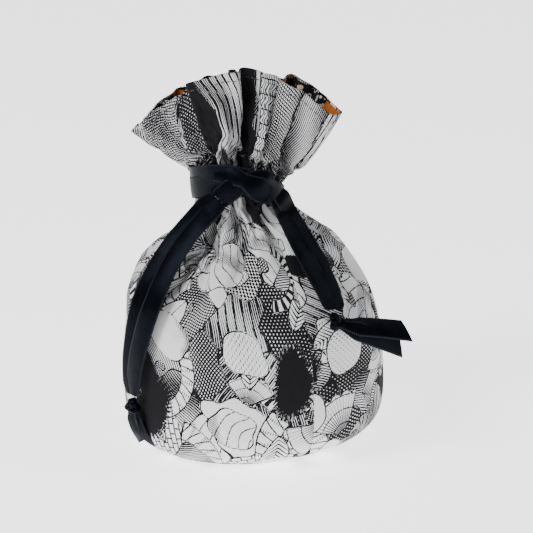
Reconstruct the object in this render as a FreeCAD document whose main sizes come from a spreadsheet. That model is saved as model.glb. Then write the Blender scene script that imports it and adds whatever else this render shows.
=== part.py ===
import FreeCAD, Part
import math
import os
import Sketcher

# A lined drawstring pouch of printed cotton, standing full, its neck drawn shut by two satin
# ribbons.  Millimetres, +Z up, origin in the middle of the flat base.  The front faces -Y.

# ---- driving dimensions --------------------------------------------------------------------

SIZES = {
    # cloth and ribbon
    "cloth": 0.8,              # one layer with its turned edges and air
    "layer_gap": 0.2,          # between the outer cloth and the lining
    "gather_depth": 3.2,       # how much the pleats thicken one layer at the neck
    "casing_room": 1.8,        # extra room between the layers where the ribbons run
    "ribbon_width": 10.0,
    "ribbon_thickness": 0.6,   # satin ribbon with its woven edge
    "thread_proud": 0.3,       # how far a line of stitches stands out of the cloth
    "thread_sunk": 0.25,       # how far it bites in
    "thread_width": 0.6,
    # base
    "base_radius": 53.0,
    "base_thickness": 1.0,
    "base_edge": 0.4,          # rounding of the base's lower edge
    "lining_base_radius": 50.6,
    "lining_base_lift": 1.3,
    # neck
    "neck_height": 136.0,      # the middle of the casing
    "neck_radius": 21.0,
    "neck_shift": -8.5,        # the filled pouch leans a little to its left
    "band_height": 12.0,
    "band_thickness": 0.9,
    "band_gap": 0.5,
    "casing_stitch_spread": 8.6,
    # the two side seams, one 27 degrees to the right of the front and one opposite
    "seam_angle": 27.0,
    "seam_stitch_top": 118.0,
    "cutter": 300.0,           # a length that passes right through the pouch
    "cutter_drop": 10.0,       # how far below the base a cutting block starts
    # ruffle: every point of its rim is about one cloth length from the tie
    "ruffle_reach_up": 62.5,
    "ruffle_reach_across": 58.0,
    "ruffle_reach_deep": 62.0,
    "ruffle_root_radius": 24.5,
    "ruffle_gather": 0.1,      # share of the neck's gathering that its layers keep
    "rim_stitch_inset": 3.8,
    # ribbon loops inside the casing
    "loop_opening": 12.0,      # degrees
    # knots
    "knot_radius": 5.0,
    # strands
    "strand_lap": 2.4,         # sideways offset of each of the two overlapping strands
    "strand_step": 1.0,        # the upper strand lies this far outside the lower one
    # half knot, where the ribbon ends cross on the neck
    "crossing_half_width": 10.0,
    "crossing_half_height": 5.0,
    "crossing_rise": -1.0,
    "crossing_half_depth": 1.7,
    "crossing_proud": 0.6,     # share of its half depth that its middle stands off the band
    "crossing_side": 5.0,
    # ribbon planes, degrees round Z from +X
    "left_plane": 211.0,
    "right_plane": -54.5,
    # tails
    "left_tail_length": 20.0,
    "right_tail_length": 43.0,
    "tail_slant": 7.0,         # how much longer one edge of the cut end is
    "tail_root": 2.0,          # where a tail starts, from the middle of its knot
    "tail_open": 8.0,          # where it has opened out to the ribbon's width
    "tail_root_width": 5.0,
}

# The wall's stations from the base seam up: height, radius, sideways shift, share of gathering.
STATIONS = {
    "hem": (1.0, 53.0, 0.0, 0.0),
    "foot": (8.0, 60.0, 0.0, 0.0),
    "belly_low": (24.0, 64.5, 0.0, 0.0),
    "belly_mid": (48.0, 65.0, 0.0, 0.0),
    "belly_high": (72.0, 63.5, 0.0, 0.0),
    "shoulder_low": (89.0, 57.0, -1.0, 0.0),
    "shoulder_mid": (104.0, 45.5, -3.5, 0.1),
    "shoulder_high": (116.0, 32.0, -6.5, 0.3),
    "neck_foot": (126.5, 21.2, -8.5, 1.0),
    "neck_low": (131.0, 21.0, -8.5, 1.0),
    "neck_mid": (138.0, 21.0, -8.5, 1.0),
    "neck_high": (145.5, 21.0, -8.5, 1.0),
}

# The ruffle's stations: height above the tie, half width, half depth.
RUFFLE = {
    "root": (4.0, 22.5, 20.4),
    "flare": (14.0, 32.5, 19.6),
    "wing": (30.0, 55.0, 17.6),
    "crown": (70.0, 108.0, 14.0),
}

# Ribbon routes in their own upright planes: distance from the Z axis and height, from the neck
# down to the knot.  The strands follow the shoulder and then hang against the side.
LEFT_ROUTE = [(33.0, 128.0), (41.5, 119.0), (53.0, 107.5), (62.5, 94.5), (68.3, 78.5),
              (69.9, 61.5), (69.6, 46.0), (69.9, 32.0)]
LEFT_KNOT = (70.2, 26.0)
RIGHT_ROUTE = [(20.5, 130.0), (29.0, 121.5), (41.5, 111.5), (53.0, 101.5), (61.8, 91.6),
               (66.9, 84.3)]
RIGHT_KNOT = (69.9, 78.5)

# Each ribbon loop: how far inside the pleats of the outer cloth it lies, and the azimuth of its
# opening, which faces a side seam.
LOOPS = {
    "right_ribbon_loop": (0.45, -63.0),
    "left_ribbon_loop": (1.2, 117.0),
}

# Each tail: its side, its angle from straight down (left) or below the level (right), and how far
# outside the middle of its knot it lies.
TAILS = {
    "left_tail_front": ("left", 12.0, 0.5),
    "left_tail_back": ("left", -10.0, -1.1),
    "right_tail_upper": ("right", 21.0, 1.2),
    "right_tail_lower": ("right", 32.0, -0.6),
}
RIGHT_TAIL_HEADING = 26.0      # degrees round Z from +X

UP = FreeCAD.Vector(0, 0, 1)
Z_TURN = FreeCAD.Rotation(UP, 1)    # its angle is then bound

os.makedirs("parts", exist_ok=True)
doc = FreeCAD.newDocument("drawstring_pouch")


# ---- spreadsheet ---------------------------------------------------------------------------

def fill_sheet():
    """One cell with an alias for every driving dimension."""
    values = dict(SIZES)
    for name, (height, radius, shift, gather) in STATIONS.items():
        values[name + "_height"] = height
        values[name + "_radius"] = radius
        values[name + "_shift"] = shift
        values[name + "_gather"] = gather
    for name, (height, half_width, half_depth) in RUFFLE.items():
        values[name + "_rise"] = height
        values[name + "_half_width"] = half_width
        values[name + "_half_depth"] = half_depth
    sheet = doc.addObject("Spreadsheet::Sheet", "Sizes")
    for row, (alias, value) in enumerate(values.items(), start=1):
        sheet.set("A%d" % row, alias)
        sheet.set("B%d" % row, str(value))
        sheet.setAlias("B%d" % row, alias)
    doc.recompute()
    return sheet


sizes = fill_sheet()


def size(alias):
    """A sheet value for the pieces whose shape is set directly."""
    return float(getattr(sizes, alias))


# ---- small builders ------------------------------------------------------------------------

def cut(name, base, tool):
    piece = doc.addObject("Part::Cut", name)
    piece.Base = base
    piece.Tool = tool
    return piece


def common(name, *shapes):
    piece = doc.addObject("Part::MultiCommon", name)
    piece.Shapes = list(shapes)
    return piece


def bind(piece, **expressions):
    """Bind properties to the sheet; a double underscore stands for the dot in a path."""
    for path, expression in expressions.items():
        piece.setExpression(path.replace("__", "."), expression)
    return piece


def layer_inset(layer, gather):
    """How far inside the pouch's outer face a layer lies, as an expression."""
    wall = "Sizes.cloth + Sizes.gather_depth * %s" % gather
    gap = "Sizes.layer_gap + Sizes.casing_room * %s" % gather
    return {
        "stitch_face": "-Sizes.thread_proud",
        "outer_face": "0",
        "stitch_back": "Sizes.thread_sunk",
        "outer_back": wall,
        "lining_face": "%s + %s" % (wall, gap),
        "lining_back": "%s + %s + %s" % (wall, gap, wall),
    }[layer]


def wall_loft(layer):
    """Solid inside one layer of the pouch's wall, through a circle at each station."""
    rings = []
    for station in STATIONS:
        ring = doc.addObject("Part::Circle", "%s_%s_ring" % (layer, station))
        inset = layer_inset(layer, "Sizes.%s_gather" % station)
        bind(ring,
             Radius="Sizes.%s_radius - (%s)" % (station, inset),
             Placement__Base__x="Sizes.%s_shift" % station,
             Placement__Base__z="Sizes.%s_height" % station)
        rings.append(ring)
    loft = doc.addObject("Part::Loft", layer + "_solid")
    loft.Sections = rings
    loft.Solid = True
    return loft


def ruffle_loft(layer):
    """Solid inside one layer of the ruffle, through an ellipse at each station."""
    rings = []
    for station in RUFFLE:
        ring = doc.addObject("Part::Ellipse", "%s_%s_oval" % (layer, station))
        inset = layer_inset(layer, "Sizes.ruffle_gather")
        bind(ring,
             MajorRadius="Sizes.%s_half_width - (%s)" % (station, inset),
             MinorRadius="Sizes.%s_half_depth - (%s)" % (station, inset),
             Placement__Base__x="Sizes.neck_shift",
             Placement__Base__z="Sizes.neck_height + Sizes.%s_rise" % station)
        rings.append(ring)
    loft = doc.addObject("Part::Loft", layer + "_fan")
    loft.Sections = rings
    loft.Solid = True
    return loft


def half_space(name, side, shift="0"):
    """A block on one side of the plane of the side seams; side is 'front' or 'back'.

    The block's long edge lies in the seam plane, and its middle is on the Z axis or, for the
    ruffle, moved over by shift to the leaning neck.
    """
    block = doc.addObject("Part::Box", name)
    block.Placement.Rotation = Z_TURN
    turn, sign = {"front": ("90", "+"), "back": ("270", "-")}[side]
    bind(block,
         Length="Sizes.cutter",
         Width="Sizes.cutter / 2",
         Height="Sizes.cutter",
         Placement__Rotation__Angle="Sizes.seam_angle + " + turn,
         Placement__Base__x="%s + %s1 * Sizes.cutter / 2 * sin(Sizes.seam_angle)" % (shift, sign),
         Placement__Base__y="%s1 * Sizes.cutter / -2 * cos(Sizes.seam_angle)" % sign,
         Placement__Base__z="-Sizes.cutter_drop")
    return block


def tube(name, inner, outer, height, bottom, opening=None):
    """A ring round the neck; opening is the azimuth of its gap, if it has one."""
    solids = []
    for part, radius in (("inside", inner), ("outside", outer)):
        drum = doc.addObject("Part::Cylinder", "%s_%s" % (name, part))
        bind(drum,
             Radius=radius,
             Height=height,
             Placement__Base__x="Sizes.neck_shift",
             Placement__Base__z=bottom)
        solids.append(drum)
    if opening is not None:
        solids[1].setExpression("Angle", "360 - Sizes.loop_opening")
        solids[1].Placement.Rotation = FreeCAD.Rotation(UP, opening + size("loop_opening") / 2)
    return cut(name, solids[1], solids[0])


def radial(plane, distance, height, lateral=0.0):
    """A point in an upright plane through the Z axis, moved sideways by lateral."""
    turn = math.radians(plane)
    return FreeCAD.Vector(distance * math.cos(turn) - lateral * math.sin(turn),
                          distance * math.sin(turn) + lateral * math.cos(turn),
                          height)


# ---- cloth ---------------------------------------------------------------------------------

def wall_panels():
    """Front and back panels of the outer cloth and of the lining, and the side seam stitches."""
    solids = {layer: wall_loft(layer) for layer in
              ("stitch_face", "outer_face", "stitch_back", "outer_back",
               "lining_face", "lining_back")}
    outer = cut("outer_wall", solids["outer_face"], solids["outer_back"])
    lining = cut("lining_wall", solids["lining_face"], solids["lining_back"])
    nodes = {}
    for side in ("front", "back"):
        for label, wall in (("outer", outer), ("lining", lining)):
            name = "%s_%s_panel" % (label, side)
            nodes[name] = common(name, wall, half_space(name + "_side", side))
    skin = cut("stitch_skin", solids["stitch_face"], solids["stitch_back"])
    nodes["side_seam_stitches"] = common("side_seam_stitches", skin, seam_plate())
    return nodes


def seam_plate():
    """A thin upright plate in the plane of the side seams."""
    plate = doc.addObject("Part::Box", "seam_plate")
    plate.Placement.Rotation = Z_TURN
    bind(plate,
         Length="Sizes.cutter",
         Width="Sizes.thread_width",
         Height="Sizes.seam_stitch_top",
         Placement__Rotation__Angle="Sizes.seam_angle - 90",
         Placement__Base__x="-Sizes.cutter / 2 * sin(Sizes.seam_angle)",
         Placement__Base__y="Sizes.cutter / 2 * cos(Sizes.seam_angle)",
         Placement__Base__z="2 * Sizes.hem_height")
    return plate


def disc_body(name, radius, thickness, lift, edge=None):
    """A round base cut from flat cloth."""
    body = doc.addObject("PartDesign::Body", name)
    sketch = body.newObject("Sketcher::SketchObject", name + "_outline")
    plane = [item for item in body.Origin.OriginFeatures if item.Role == "XY_Plane"][0]
    sketch.AttachmentSupport = [(plane, "")]
    sketch.MapMode = "FlatFace"
    start = size("base_radius")
    sketch.addGeometry(Part.Circle(FreeCAD.Vector(), UP, start))
    number = sketch.addConstraint(Sketcher.Constraint("Radius", 0, start))
    sketch.setExpression("Constraints[%d]" % number, radius)
    pad = body.newObject("PartDesign::Pad", name + "_cloth")
    pad.Profile = sketch
    pad.setExpression("Length", thickness)
    body.setExpression("Placement.Base.z", lift)
    doc.recompute()
    if edge:
        lower = lowest_edge(pad.Shape)
        fillet = body.newObject("PartDesign::Fillet", name + "_edge")
        fillet.Base = (pad, [lower])
        fillet.setExpression("Radius", edge)
    return body


def lowest_edge(shape):
    heights = {"Edge%d" % number: edge.BoundBox.ZMax
               for number, edge in enumerate(shape.Edges, start=1)}
    return min(heights, key=heights.get)


def ruffle_pieces():
    """The gathered ruffle above the tie, in two layers and two halves, and its top stitching."""
    solids = {layer: ruffle_loft(layer) for layer in
              ("stitch_face", "outer_face", "stitch_back", "outer_back",
               "lining_face", "lining_back")}
    reach = ellipsoid("ruffle_reach", "0")
    root = doc.addObject("Part::Sphere", "ruffle_root")
    bind(root,
         Radius="Sizes.ruffle_root_radius",
         Placement__Base__x="Sizes.neck_shift",
         Placement__Base__z="Sizes.neck_height")
    fan = cut("ruffle_fan", reach, root)
    outer = cut("outer_fan", solids["outer_face"], solids["outer_back"])
    lining = cut("lining_fan", solids["lining_face"], solids["lining_back"])
    nodes = {}
    for side in ("front", "back"):
        for label, wall in (("outer", outer), ("lining", lining)):
            name = "%s_%s_ruffle" % (label, side)
            half = half_space(name + "_side", side, "Sizes.neck_shift")
            nodes[name] = common(name, wall, fan, half)
    line = cut("rim_line",
               ellipsoid("rim_line_top", "Sizes.rim_stitch_inset"),
               ellipsoid("rim_line_bottom", "Sizes.rim_stitch_inset + Sizes.thread_width"))
    skin = cut("rim_stitch_skin", solids["stitch_face"], solids["stitch_back"])
    nodes["rim_stitches"] = common("rim_stitches", skin, line)
    return nodes


def ellipsoid(name, inset):
    """The surface that the ruffle's rim lies on, or one a little inside it."""
    solid = doc.addObject("Part::Ellipsoid", name)
    solid.Angle1 = -90
    solid.Angle2 = 90
    bind(solid,
         Radius1="Sizes.ruffle_reach_up - (%s)" % inset,
         Radius2="Sizes.ruffle_reach_across - (%s)" % inset,
         Radius3="Sizes.ruffle_reach_deep - (%s)" % inset,
         Placement__Base__x="Sizes.neck_shift",
         Placement__Base__z="Sizes.neck_height")
    return solid


def stitch_ring(name, radius, height, shift):
    """A line of stitches round the pouch."""
    ring = doc.addObject("Part::Torus", name)
    bind(ring,
         Radius1=radius,
         Radius2="Sizes.thread_sunk",
         Placement__Base__x=shift,
         Placement__Base__z=height)
    return ring


# ---- ribbons -------------------------------------------------------------------------------

def casing_ribbons():
    """The two ribbon loops inside the casing, each open where its ends come out."""
    bottom = "Sizes.neck_height - Sizes.ribbon_width / 2"
    outer_back = "Sizes.neck_radius - Sizes.cloth - Sizes.gather_depth"
    nodes = {}
    for name, (step, opening) in LOOPS.items():
        outer = "%s - %g" % (outer_back, step)
        nodes[name] = tube(name, "%s - Sizes.ribbon_thickness" % outer, outer,
                           "Sizes.ribbon_width", bottom, opening)
    return nodes


def neck_band():
    """The ribbon wrapped once round the outside of the neck before its ends hang down."""
    inner = "Sizes.neck_radius + Sizes.band_gap"
    return tube("neck_band", inner, inner + " + Sizes.band_thickness", "Sizes.band_height",
                "Sizes.neck_height - Sizes.band_height / 2")


def crossing():
    """The half knot at the front of the neck, a flattened lump of folded ribbon."""
    lump = doc.addObject("Part::Ellipsoid", "ribbon_half_knot")
    lump.Angle1 = -90
    lump.Angle2 = 90
    stand_off = "Sizes.neck_radius + Sizes.band_gap + Sizes.band_thickness"
    bind(lump,
         Radius1="Sizes.crossing_half_height",
         Radius2="Sizes.crossing_half_width",
         Radius3="Sizes.crossing_half_depth",
         Placement__Base__x="Sizes.neck_shift + Sizes.crossing_side",
         Placement__Base__y="-(%s + Sizes.crossing_half_depth * Sizes.crossing_proud)" % stand_off,
         Placement__Base__z="Sizes.neck_height + Sizes.crossing_rise")
    return lump


def rounded_path(points):
    """Straight runs joined by tangent arcs, each as large as its two runs allow."""
    edges = []
    start = points[0]
    for before, corner, after in zip(points, points[1:], points[2:]):
        into = corner - before
        out = after - corner
        reach = 0.45 * min(into.Length, out.Length)
        turn = into.getAngle(out)
        toward = FreeCAD.Vector(into).normalize()
        away = FreeCAD.Vector(out).normalize()
        arc_start = corner - toward * reach
        arc_end = corner + away * reach
        bisector = (away - toward).normalize()
        radius = reach / math.tan(turn / 2)
        middle = corner + bisector * (radius / math.cos(turn / 2) - radius)
        edges.append(Part.LineSegment(start, arc_start).toShape())
        edges.append(Part.Arc(arc_start, middle, arc_end).toShape())
        print("  bend radius %.1f" % radius)
        start = arc_end
    edges.append(Part.LineSegment(start, points[-1]).toShape())
    return Part.Wire(edges)


def strand(name, route, plane, lateral, lift):
    """One flat ribbon end from the neck to its knot."""
    print(name)
    points = [radial(plane, distance + lift, height, lateral) for distance, height in route]
    path = rounded_path(points)
    along = (points[1] - points[0]).normalize()
    across = radial(plane + 90, 1, 0)
    normal = along.cross(across)
    half_width = across * (size("ribbon_width") / 2)
    half_depth = normal * (size("ribbon_thickness") / 2)
    corners = [points[0] + half_width + half_depth, points[0] - half_width + half_depth,
               points[0] - half_width - half_depth, points[0] + half_width - half_depth]
    section = Part.makePolygon(corners + [corners[0]])
    solid = path.makePipeShell([section], True, False)
    expected = size("ribbon_width") * size("ribbon_thickness") * path.Length
    print("  length %.1f, volume ratio %.3f" % (path.Length, solid.Volume / expected))
    piece = doc.addObject("Part::Feature", name)
    piece.Shape = solid
    return piece


def strands():
    """Two overlapping strands each side; the second lies a little outside the first."""
    lap = size("strand_lap")
    step = size("strand_step")
    return {
        "left_strand_inner": strand("left_strand_inner", LEFT_ROUTE, size("left_plane"),
                                    -lap, 0.0),
        "left_strand_outer": strand("left_strand_outer", LEFT_ROUTE, size("left_plane"),
                                    lap, step),
        "right_strand_inner": strand("right_strand_inner", RIGHT_ROUTE, size("right_plane"),
                                     lap, 0.0),
        "right_strand_outer": strand("right_strand_outer", RIGHT_ROUTE, size("right_plane"),
                                     -lap, step),
    }


def knot(name, plane, centre):
    """An overhand knot, round so that it can turn below its strands."""
    lump = doc.addObject("Part::Sphere", name)
    lump.setExpression("Radius", "Sizes.knot_radius")
    lump.Placement.Base = radial(size(plane), *centre)
    return lump


def tail(name, side, angle, step):
    """A short ribbon end below a knot, cut at a slant."""
    body = doc.addObject("PartDesign::Body", name)
    sketch = body.newObject("Sketcher::SketchObject", name + "_outline")
    plane = [item for item in body.Origin.OriginFeatures if item.Role == "XY_Plane"][0]
    sketch.AttachmentSupport = [(plane, "")]
    sketch.MapMode = "FlatFace"
    length = size(side + "_tail_length")
    half = size("ribbon_width") / 2
    root = size("tail_root")
    opened = size("tail_open")
    root_half = size("tail_root_width") / 2
    outline = [(root, -root_half), (opened, -half), (length - size("tail_slant"), -half),
               (length, half), (opened, half), (root, root_half)]
    corners = [FreeCAD.Vector(along, across, 0) for along, across in outline]
    for first, second in zip(corners, corners[1:] + corners[:1]):
        sketch.addGeometry(Part.LineSegment(first, second))
    pad = body.newObject("PartDesign::Pad", name + "_ribbon")
    pad.Profile = sketch
    pad.setExpression("Length", "Sizes.ribbon_thickness")
    place = {"left": left_tail_place, "right": right_tail_place}[side]
    body.Placement = place(angle, step)
    return body


def left_tail_place(angle, step):
    """Straight down from the left knot, fanned by angle, flat against the pouch's side."""
    outward = radial(size("left_plane"), 1, 0)
    across = radial(size("left_plane") + 90, 1, 0)
    turn = math.radians(angle)
    down = FreeCAD.Vector(0, 0, -1) * math.cos(turn) + across * math.sin(turn)
    place = radial(size("left_plane"), *LEFT_KNOT) + outward * step
    return FreeCAD.Placement(place, FreeCAD.Rotation(down, outward.cross(down), outward, "XZY"))


def right_tail_place(drop, step):
    """Out to the side from the right knot, resting across the pouch's flank."""
    heading = math.radians(RIGHT_TAIL_HEADING)
    fall = math.radians(drop)
    along = FreeCAD.Vector(math.cos(heading) * math.cos(fall),
                           math.sin(heading) * math.cos(fall), -math.sin(fall))
    outward = FreeCAD.Vector(math.sin(heading), -math.cos(heading), 0)
    place = radial(size("right_plane"), *RIGHT_KNOT) + outward * step
    return FreeCAD.Placement(place, FreeCAD.Rotation(along, outward.cross(along), outward, "XZY"))


# ---- assembly ------------------------------------------------------------------------------

def build():
    nodes = {}
    nodes.update(wall_panels())
    nodes["outer_base"] = disc_body("outer_base", "Sizes.base_radius", "Sizes.base_thickness",
                                    "0", "Sizes.base_edge")
    nodes["lining_base"] = disc_body("lining_base", "Sizes.lining_base_radius", "Sizes.cloth",
                                     "Sizes.lining_base_lift")
    nodes["base_seam_stitches"] = stitch_ring("base_seam_stitches", "Sizes.base_radius",
                                              "Sizes.hem_height", "Sizes.hem_shift")
    for row, sign in (("upper", "+"), ("lower", "-")):
        name = "casing_stitches_" + row
        height = "Sizes.neck_height %s Sizes.casing_stitch_spread" % sign
        nodes[name] = stitch_ring(name, "Sizes.neck_radius", height, "Sizes.neck_shift")
    nodes.update(ruffle_pieces())
    nodes.update(casing_ribbons())
    nodes["neck_band"] = neck_band()
    nodes["ribbon_half_knot"] = crossing()
    nodes.update(strands())
    nodes["left_knot"] = knot("left_knot", "left_plane", LEFT_KNOT)
    nodes["right_knot"] = knot("right_knot", "right_plane", RIGHT_KNOT)
    for name, (side, angle, step) in TAILS.items():
        nodes[name] = tail(name, side, angle, step)
    return nodes


def check_and_write(nodes):
    """Every object recomputed cleanly and every piece whole, before any file is written."""
    doc.recompute()
    for item in doc.Objects:
        broken = [word for word in item.State if word in ("Invalid", "Error")]
        if broken:
            raise RuntimeError("%s is %s" % (item.Name, broken))
    for name, piece in nodes.items():
        piece.Label = name
        if piece.Shape.isNull() or not piece.Shape.isValid() or not piece.Shape.Solids:
            raise RuntimeError("%s has no valid solid" % name)
    for name, piece in nodes.items():
        piece.Shape.exportStep("parts/%s.step" % name)
        print("%-24s %2d solids %10.1f mm3" % (name, len(piece.Shape.Solids), piece.Shape.Volume))


check_and_write(build())
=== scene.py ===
import math

import bpy
import numpy as np
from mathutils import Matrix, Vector
from mathutils.bvhtree import BVHTree


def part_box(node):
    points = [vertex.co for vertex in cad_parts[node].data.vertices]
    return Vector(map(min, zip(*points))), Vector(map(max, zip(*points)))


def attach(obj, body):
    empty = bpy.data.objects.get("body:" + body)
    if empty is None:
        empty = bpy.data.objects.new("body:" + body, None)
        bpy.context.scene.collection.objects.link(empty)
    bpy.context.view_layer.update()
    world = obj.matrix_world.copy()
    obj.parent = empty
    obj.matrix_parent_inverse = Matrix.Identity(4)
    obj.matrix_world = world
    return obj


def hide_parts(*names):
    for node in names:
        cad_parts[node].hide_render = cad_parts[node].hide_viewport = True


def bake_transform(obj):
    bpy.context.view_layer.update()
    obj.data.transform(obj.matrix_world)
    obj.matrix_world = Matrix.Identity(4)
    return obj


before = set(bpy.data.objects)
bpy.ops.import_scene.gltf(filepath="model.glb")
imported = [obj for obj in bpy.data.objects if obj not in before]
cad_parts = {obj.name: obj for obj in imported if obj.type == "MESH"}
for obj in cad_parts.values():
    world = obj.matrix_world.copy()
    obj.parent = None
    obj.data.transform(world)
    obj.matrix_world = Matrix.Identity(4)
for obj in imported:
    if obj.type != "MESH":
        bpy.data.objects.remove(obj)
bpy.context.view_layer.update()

# A lined drawstring pouch of printed cotton.  The cloth is worked out in millimetres as a grid of
# rings that run round the pouch, from the base seam up to the ruffle's rim, and is then turned
# into metres.  The front faces -Y.

MM = 0.001


# ---- sizes, in millimetres, read from the frame ----------------------------------------------

def box_mm(node):
    """A CAD node's lowest and highest corners in millimetres."""
    low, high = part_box(node)
    return np.array(low) / MM, np.array(high) / MM


base_low, base_high = box_mm("outer_base")
band_low, band_high = box_mm("neck_band")
panel_low, panel_high = box_mm("outer_back_panel")
left_knot_low, left_knot_high = box_mm("left_knot")
right_knot_low, right_knot_high = box_mm("right_knot")
BASE_RADIUS = (base_high[0] - base_low[0]) / 2
BELLY_RADIUS = panel_high[0]
NECK = (band_low + band_high) / 2                    # the middle of the tie
NECK_RADIUS = (band_high[0] - band_low[0]) / 2 - 1.7
LEFT_KNOT = (left_knot_low + left_knot_high) / 2
RIGHT_KNOT = (right_knot_low + right_knot_high) / 2
RIBBON = 10.0                                        # width of the ribbon

CLOTH_ROUND = 2 * math.pi * BELLY_RADIUS             # how far the cloth goes round, flat
RUFFLE_ROUND = 0.82 * CLOTH_ROUND                    # narrowed above the casing; a fitted value
SEAM_AZIMUTH = math.radians(-63)                     # the front side seam
STEP = 0.72                   # spacing of the cloth's grid
RUFFLE_STARTS = 152.0                                # the ruffle's first row, up the flat cloth
RIM_THICKNESS = 0.5                                  # of the turned rim
LINING_GAP = 0.5                                     # from the outer face to the lining
WALL_GAP = 0.8                                       # from the ruffle's middle plane to a wall
RIM_STITCHES_DOWN = 3.8                              # from the rim to its stitches
CASING_HALF = 8.6                                    # from the tie to each row of the casing
PATTERN_ENDS = (181, 189)                            # where the lining's pattern fades into plain dark painted shade, up the cloth
SETTLING_GRID = 2.7                                  # spacing of the simulated grid
SETTLING_FRAMES = 28

# Body outline from the base seam up to the casing: radius and height.
OUTLINE = [(BASE_RADIUS, 0.8), (60.0, 4.6), (64.0, 12.5), (65.4, 24.0), (64.8, 46.0),
           (62.4, 66.0), (59.4, 79.0), (52.6, 92.0), (43.8, 102.5), (32.8, 112.5),
           (25.6, 120.5), (22.0, 127.0), (NECK_RADIUS, 133.0), (NECK_RADIUS, 138.0)]

# The ruffle's rim, anticlockwise from the right tip: x, y, z.  Left of the front it doubles back
# on itself in one flat fold.
RIM = [(43.5, -1.0, 167.6), (42.5, 4.0, 167.6), (39.0, 9.0, 169.6), (36.0, 12.5, 172.6),
       (31.5, 14.5, 175.2), (27.0, 15.5, 178.6), (19.5, 16.0, 182.6), (8.0, 15.0, 183.8),
       (-4.5, 15.0, 184.6), (-12.5, 15.0, 186.3), (-18.5, 14.5, 184.4), (-33.5, 13.0, 178.6),
       (-44.5, 10.5, 173.0), (-53.5, 6.0, 164.2), (-61.5, 1.0, 156.8), (-56.0, -3.0, 162.6),
       (-48.0, -4.0, 170.0), (-39.0, -4.5, 177.2), (-31.0, -5.0, 182.4), (-24.5, -9.5, 185.6),
       (-33.5, -18.0, 188.0), (-25.0, -19.5, 190.8), (-12.0, -17.5, 192.9), (-2.0, -15.0, 193.4),
       (8.0, -15.5, 191.4), (15.5, -15.5, 187.6), (23.0, -14.5, 183.0), (30.5, -12.0, 176.0),
       (38.5, -7.5, 168.6)]

# The ruffle's valleys: where each meets the rim (x, y), its depth's share, width and lean.
VALLEYS = [(-48.0, -4.0, 0.35, 4.5, 0.3), (-15.0, -18.0, 0.30, 4.0, 0.5),
           (-1.0, -15.0, 1.00, 4.2, -0.7), (9.5, -15.0, 0.65, 3.6, 0.6),
           (25.0, -12.5, 0.45, 5.0, -0.4), (35.5, 12.5, 0.35, 3.8, 0.3), (25.0, 15.5, 0.45, 4.6, 0.5),
           (11.0, 15.5, 0.85, 4.6, -0.5), (-3.0, 15.0, 1.00, 4.6, 0.4),
           (-17.0, 14.5, 0.90, 4.4, -0.4), (-31.0, 13.0, 0.60, 4.4, 0.4), (-43.0, 10.0, 0.35, 4.2, 0.3)]

# Ribbon routes: control points in metres, from the neck down to the knot.
LEFT_ROUTE = [(-0.0166, -0.0264, 0.1328), (-0.0225, -0.0258, 0.1265), (-0.0298, -0.0245, 0.1180),
              (-0.0372, -0.0282, 0.1095), (-0.0452, -0.0330, 0.0980), (-0.0512, -0.0380, 0.0862),
              (-0.0556, -0.0392, 0.0730), (-0.0592, -0.0372, 0.0560), (-0.0608, -0.0352, 0.0408),
              (-0.0605, -0.0360, 0.0300)]
RIGHT_ROUTE = [(0.0098, -0.0226, 0.1326), (0.0142, -0.0195, 0.1255), (0.0198, -0.0242, 0.1160),
               (0.0252, -0.0308, 0.1085), (0.0312, -0.0388, 0.0992), (0.0365, -0.0445, 0.0900),
               (0.0404, -0.0530, 0.0820)]

rng = np.random.default_rng(7)


# ---- curves ----------------------------------------------------------------------------------

def catmull(knots, fine=24):
    """Catmull-Rom spline through knots[1:-1]."""
    share = np.linspace(0, 1, fine, endpoint=False)[:, None]
    rows = []
    for before, start, end, after in zip(knots, knots[1:], knots[2:], knots[3:]):
        rows.append(0.5 * (2 * start + (end - before) * share
                           + (2 * before - 5 * start + 4 * end - after) * share ** 2
                           + (3 * start - before - 3 * end + after) * share ** 3))
    rows.append(knots[-2][None])
    return np.concatenate(rows)


def lengths_along(points):
    """How far along the line each of its points is."""
    steps = np.linalg.norm(np.diff(points, axis=0), axis=1)
    return np.concatenate([[0], np.cumsum(steps)])


def evenly(points, count, closed=False):
    """The same line with evenly spaced points."""
    lengths = lengths_along(points)
    wanted = np.linspace(0, lengths[-1], count, endpoint=not closed)
    return np.stack([np.interp(wanted, lengths, points[:, k]) for k in range(points.shape[1])], 1)


def smooth_open(points, count):
    """Evenly spaced points on a smooth curve through an open list of points."""
    points = np.array(points, float)
    ends = (2 * points[:1] - points[1:2], 2 * points[-1:] - points[-2:-1])
    return evenly(catmull(np.concatenate([ends[0], points, ends[1]])), count)


def smooth_closed(points, count):
    """Evenly spaced points on a smooth curve through a closed list of points."""
    points = np.array(points, float)
    return evenly(catmull(np.concatenate([points[-1:], points, points[:2]])), count, closed=True)


def ease(value, low, high):
    """Smooth step from 0 at low to 1 at high."""
    share = np.clip((value - low) / (high - low), 0, 1)
    return share * share * (3 - 2 * share)


def smoothed(values, times):
    """A running average along the first axis.  It draws the two ends of a line in a little."""
    for _ in range(times):
        padded = np.concatenate([values[:1], values, values[-1:]])
        values = (padded[:-2] + 2 * padded[1:-1] + padded[2:]) / 4
    return values


def unit(vectors):
    """The vectors at length 1."""
    return vectors / np.maximum(np.linalg.norm(vectors, axis=-1, keepdims=True), 1e-9)


# ---- the pouch's cloth -----------------------------------------------------------------------

def tie_height(azimuth):
    """The tie sits highest at the front, and the ribbons pull it down at the sides."""
    return (NECK[2] - 3.0 - 2.6 * np.cos(azimuth) - 4.25 * np.sin(azimuth)
            - 4.25 * np.cos(2 * azimuth))


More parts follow.
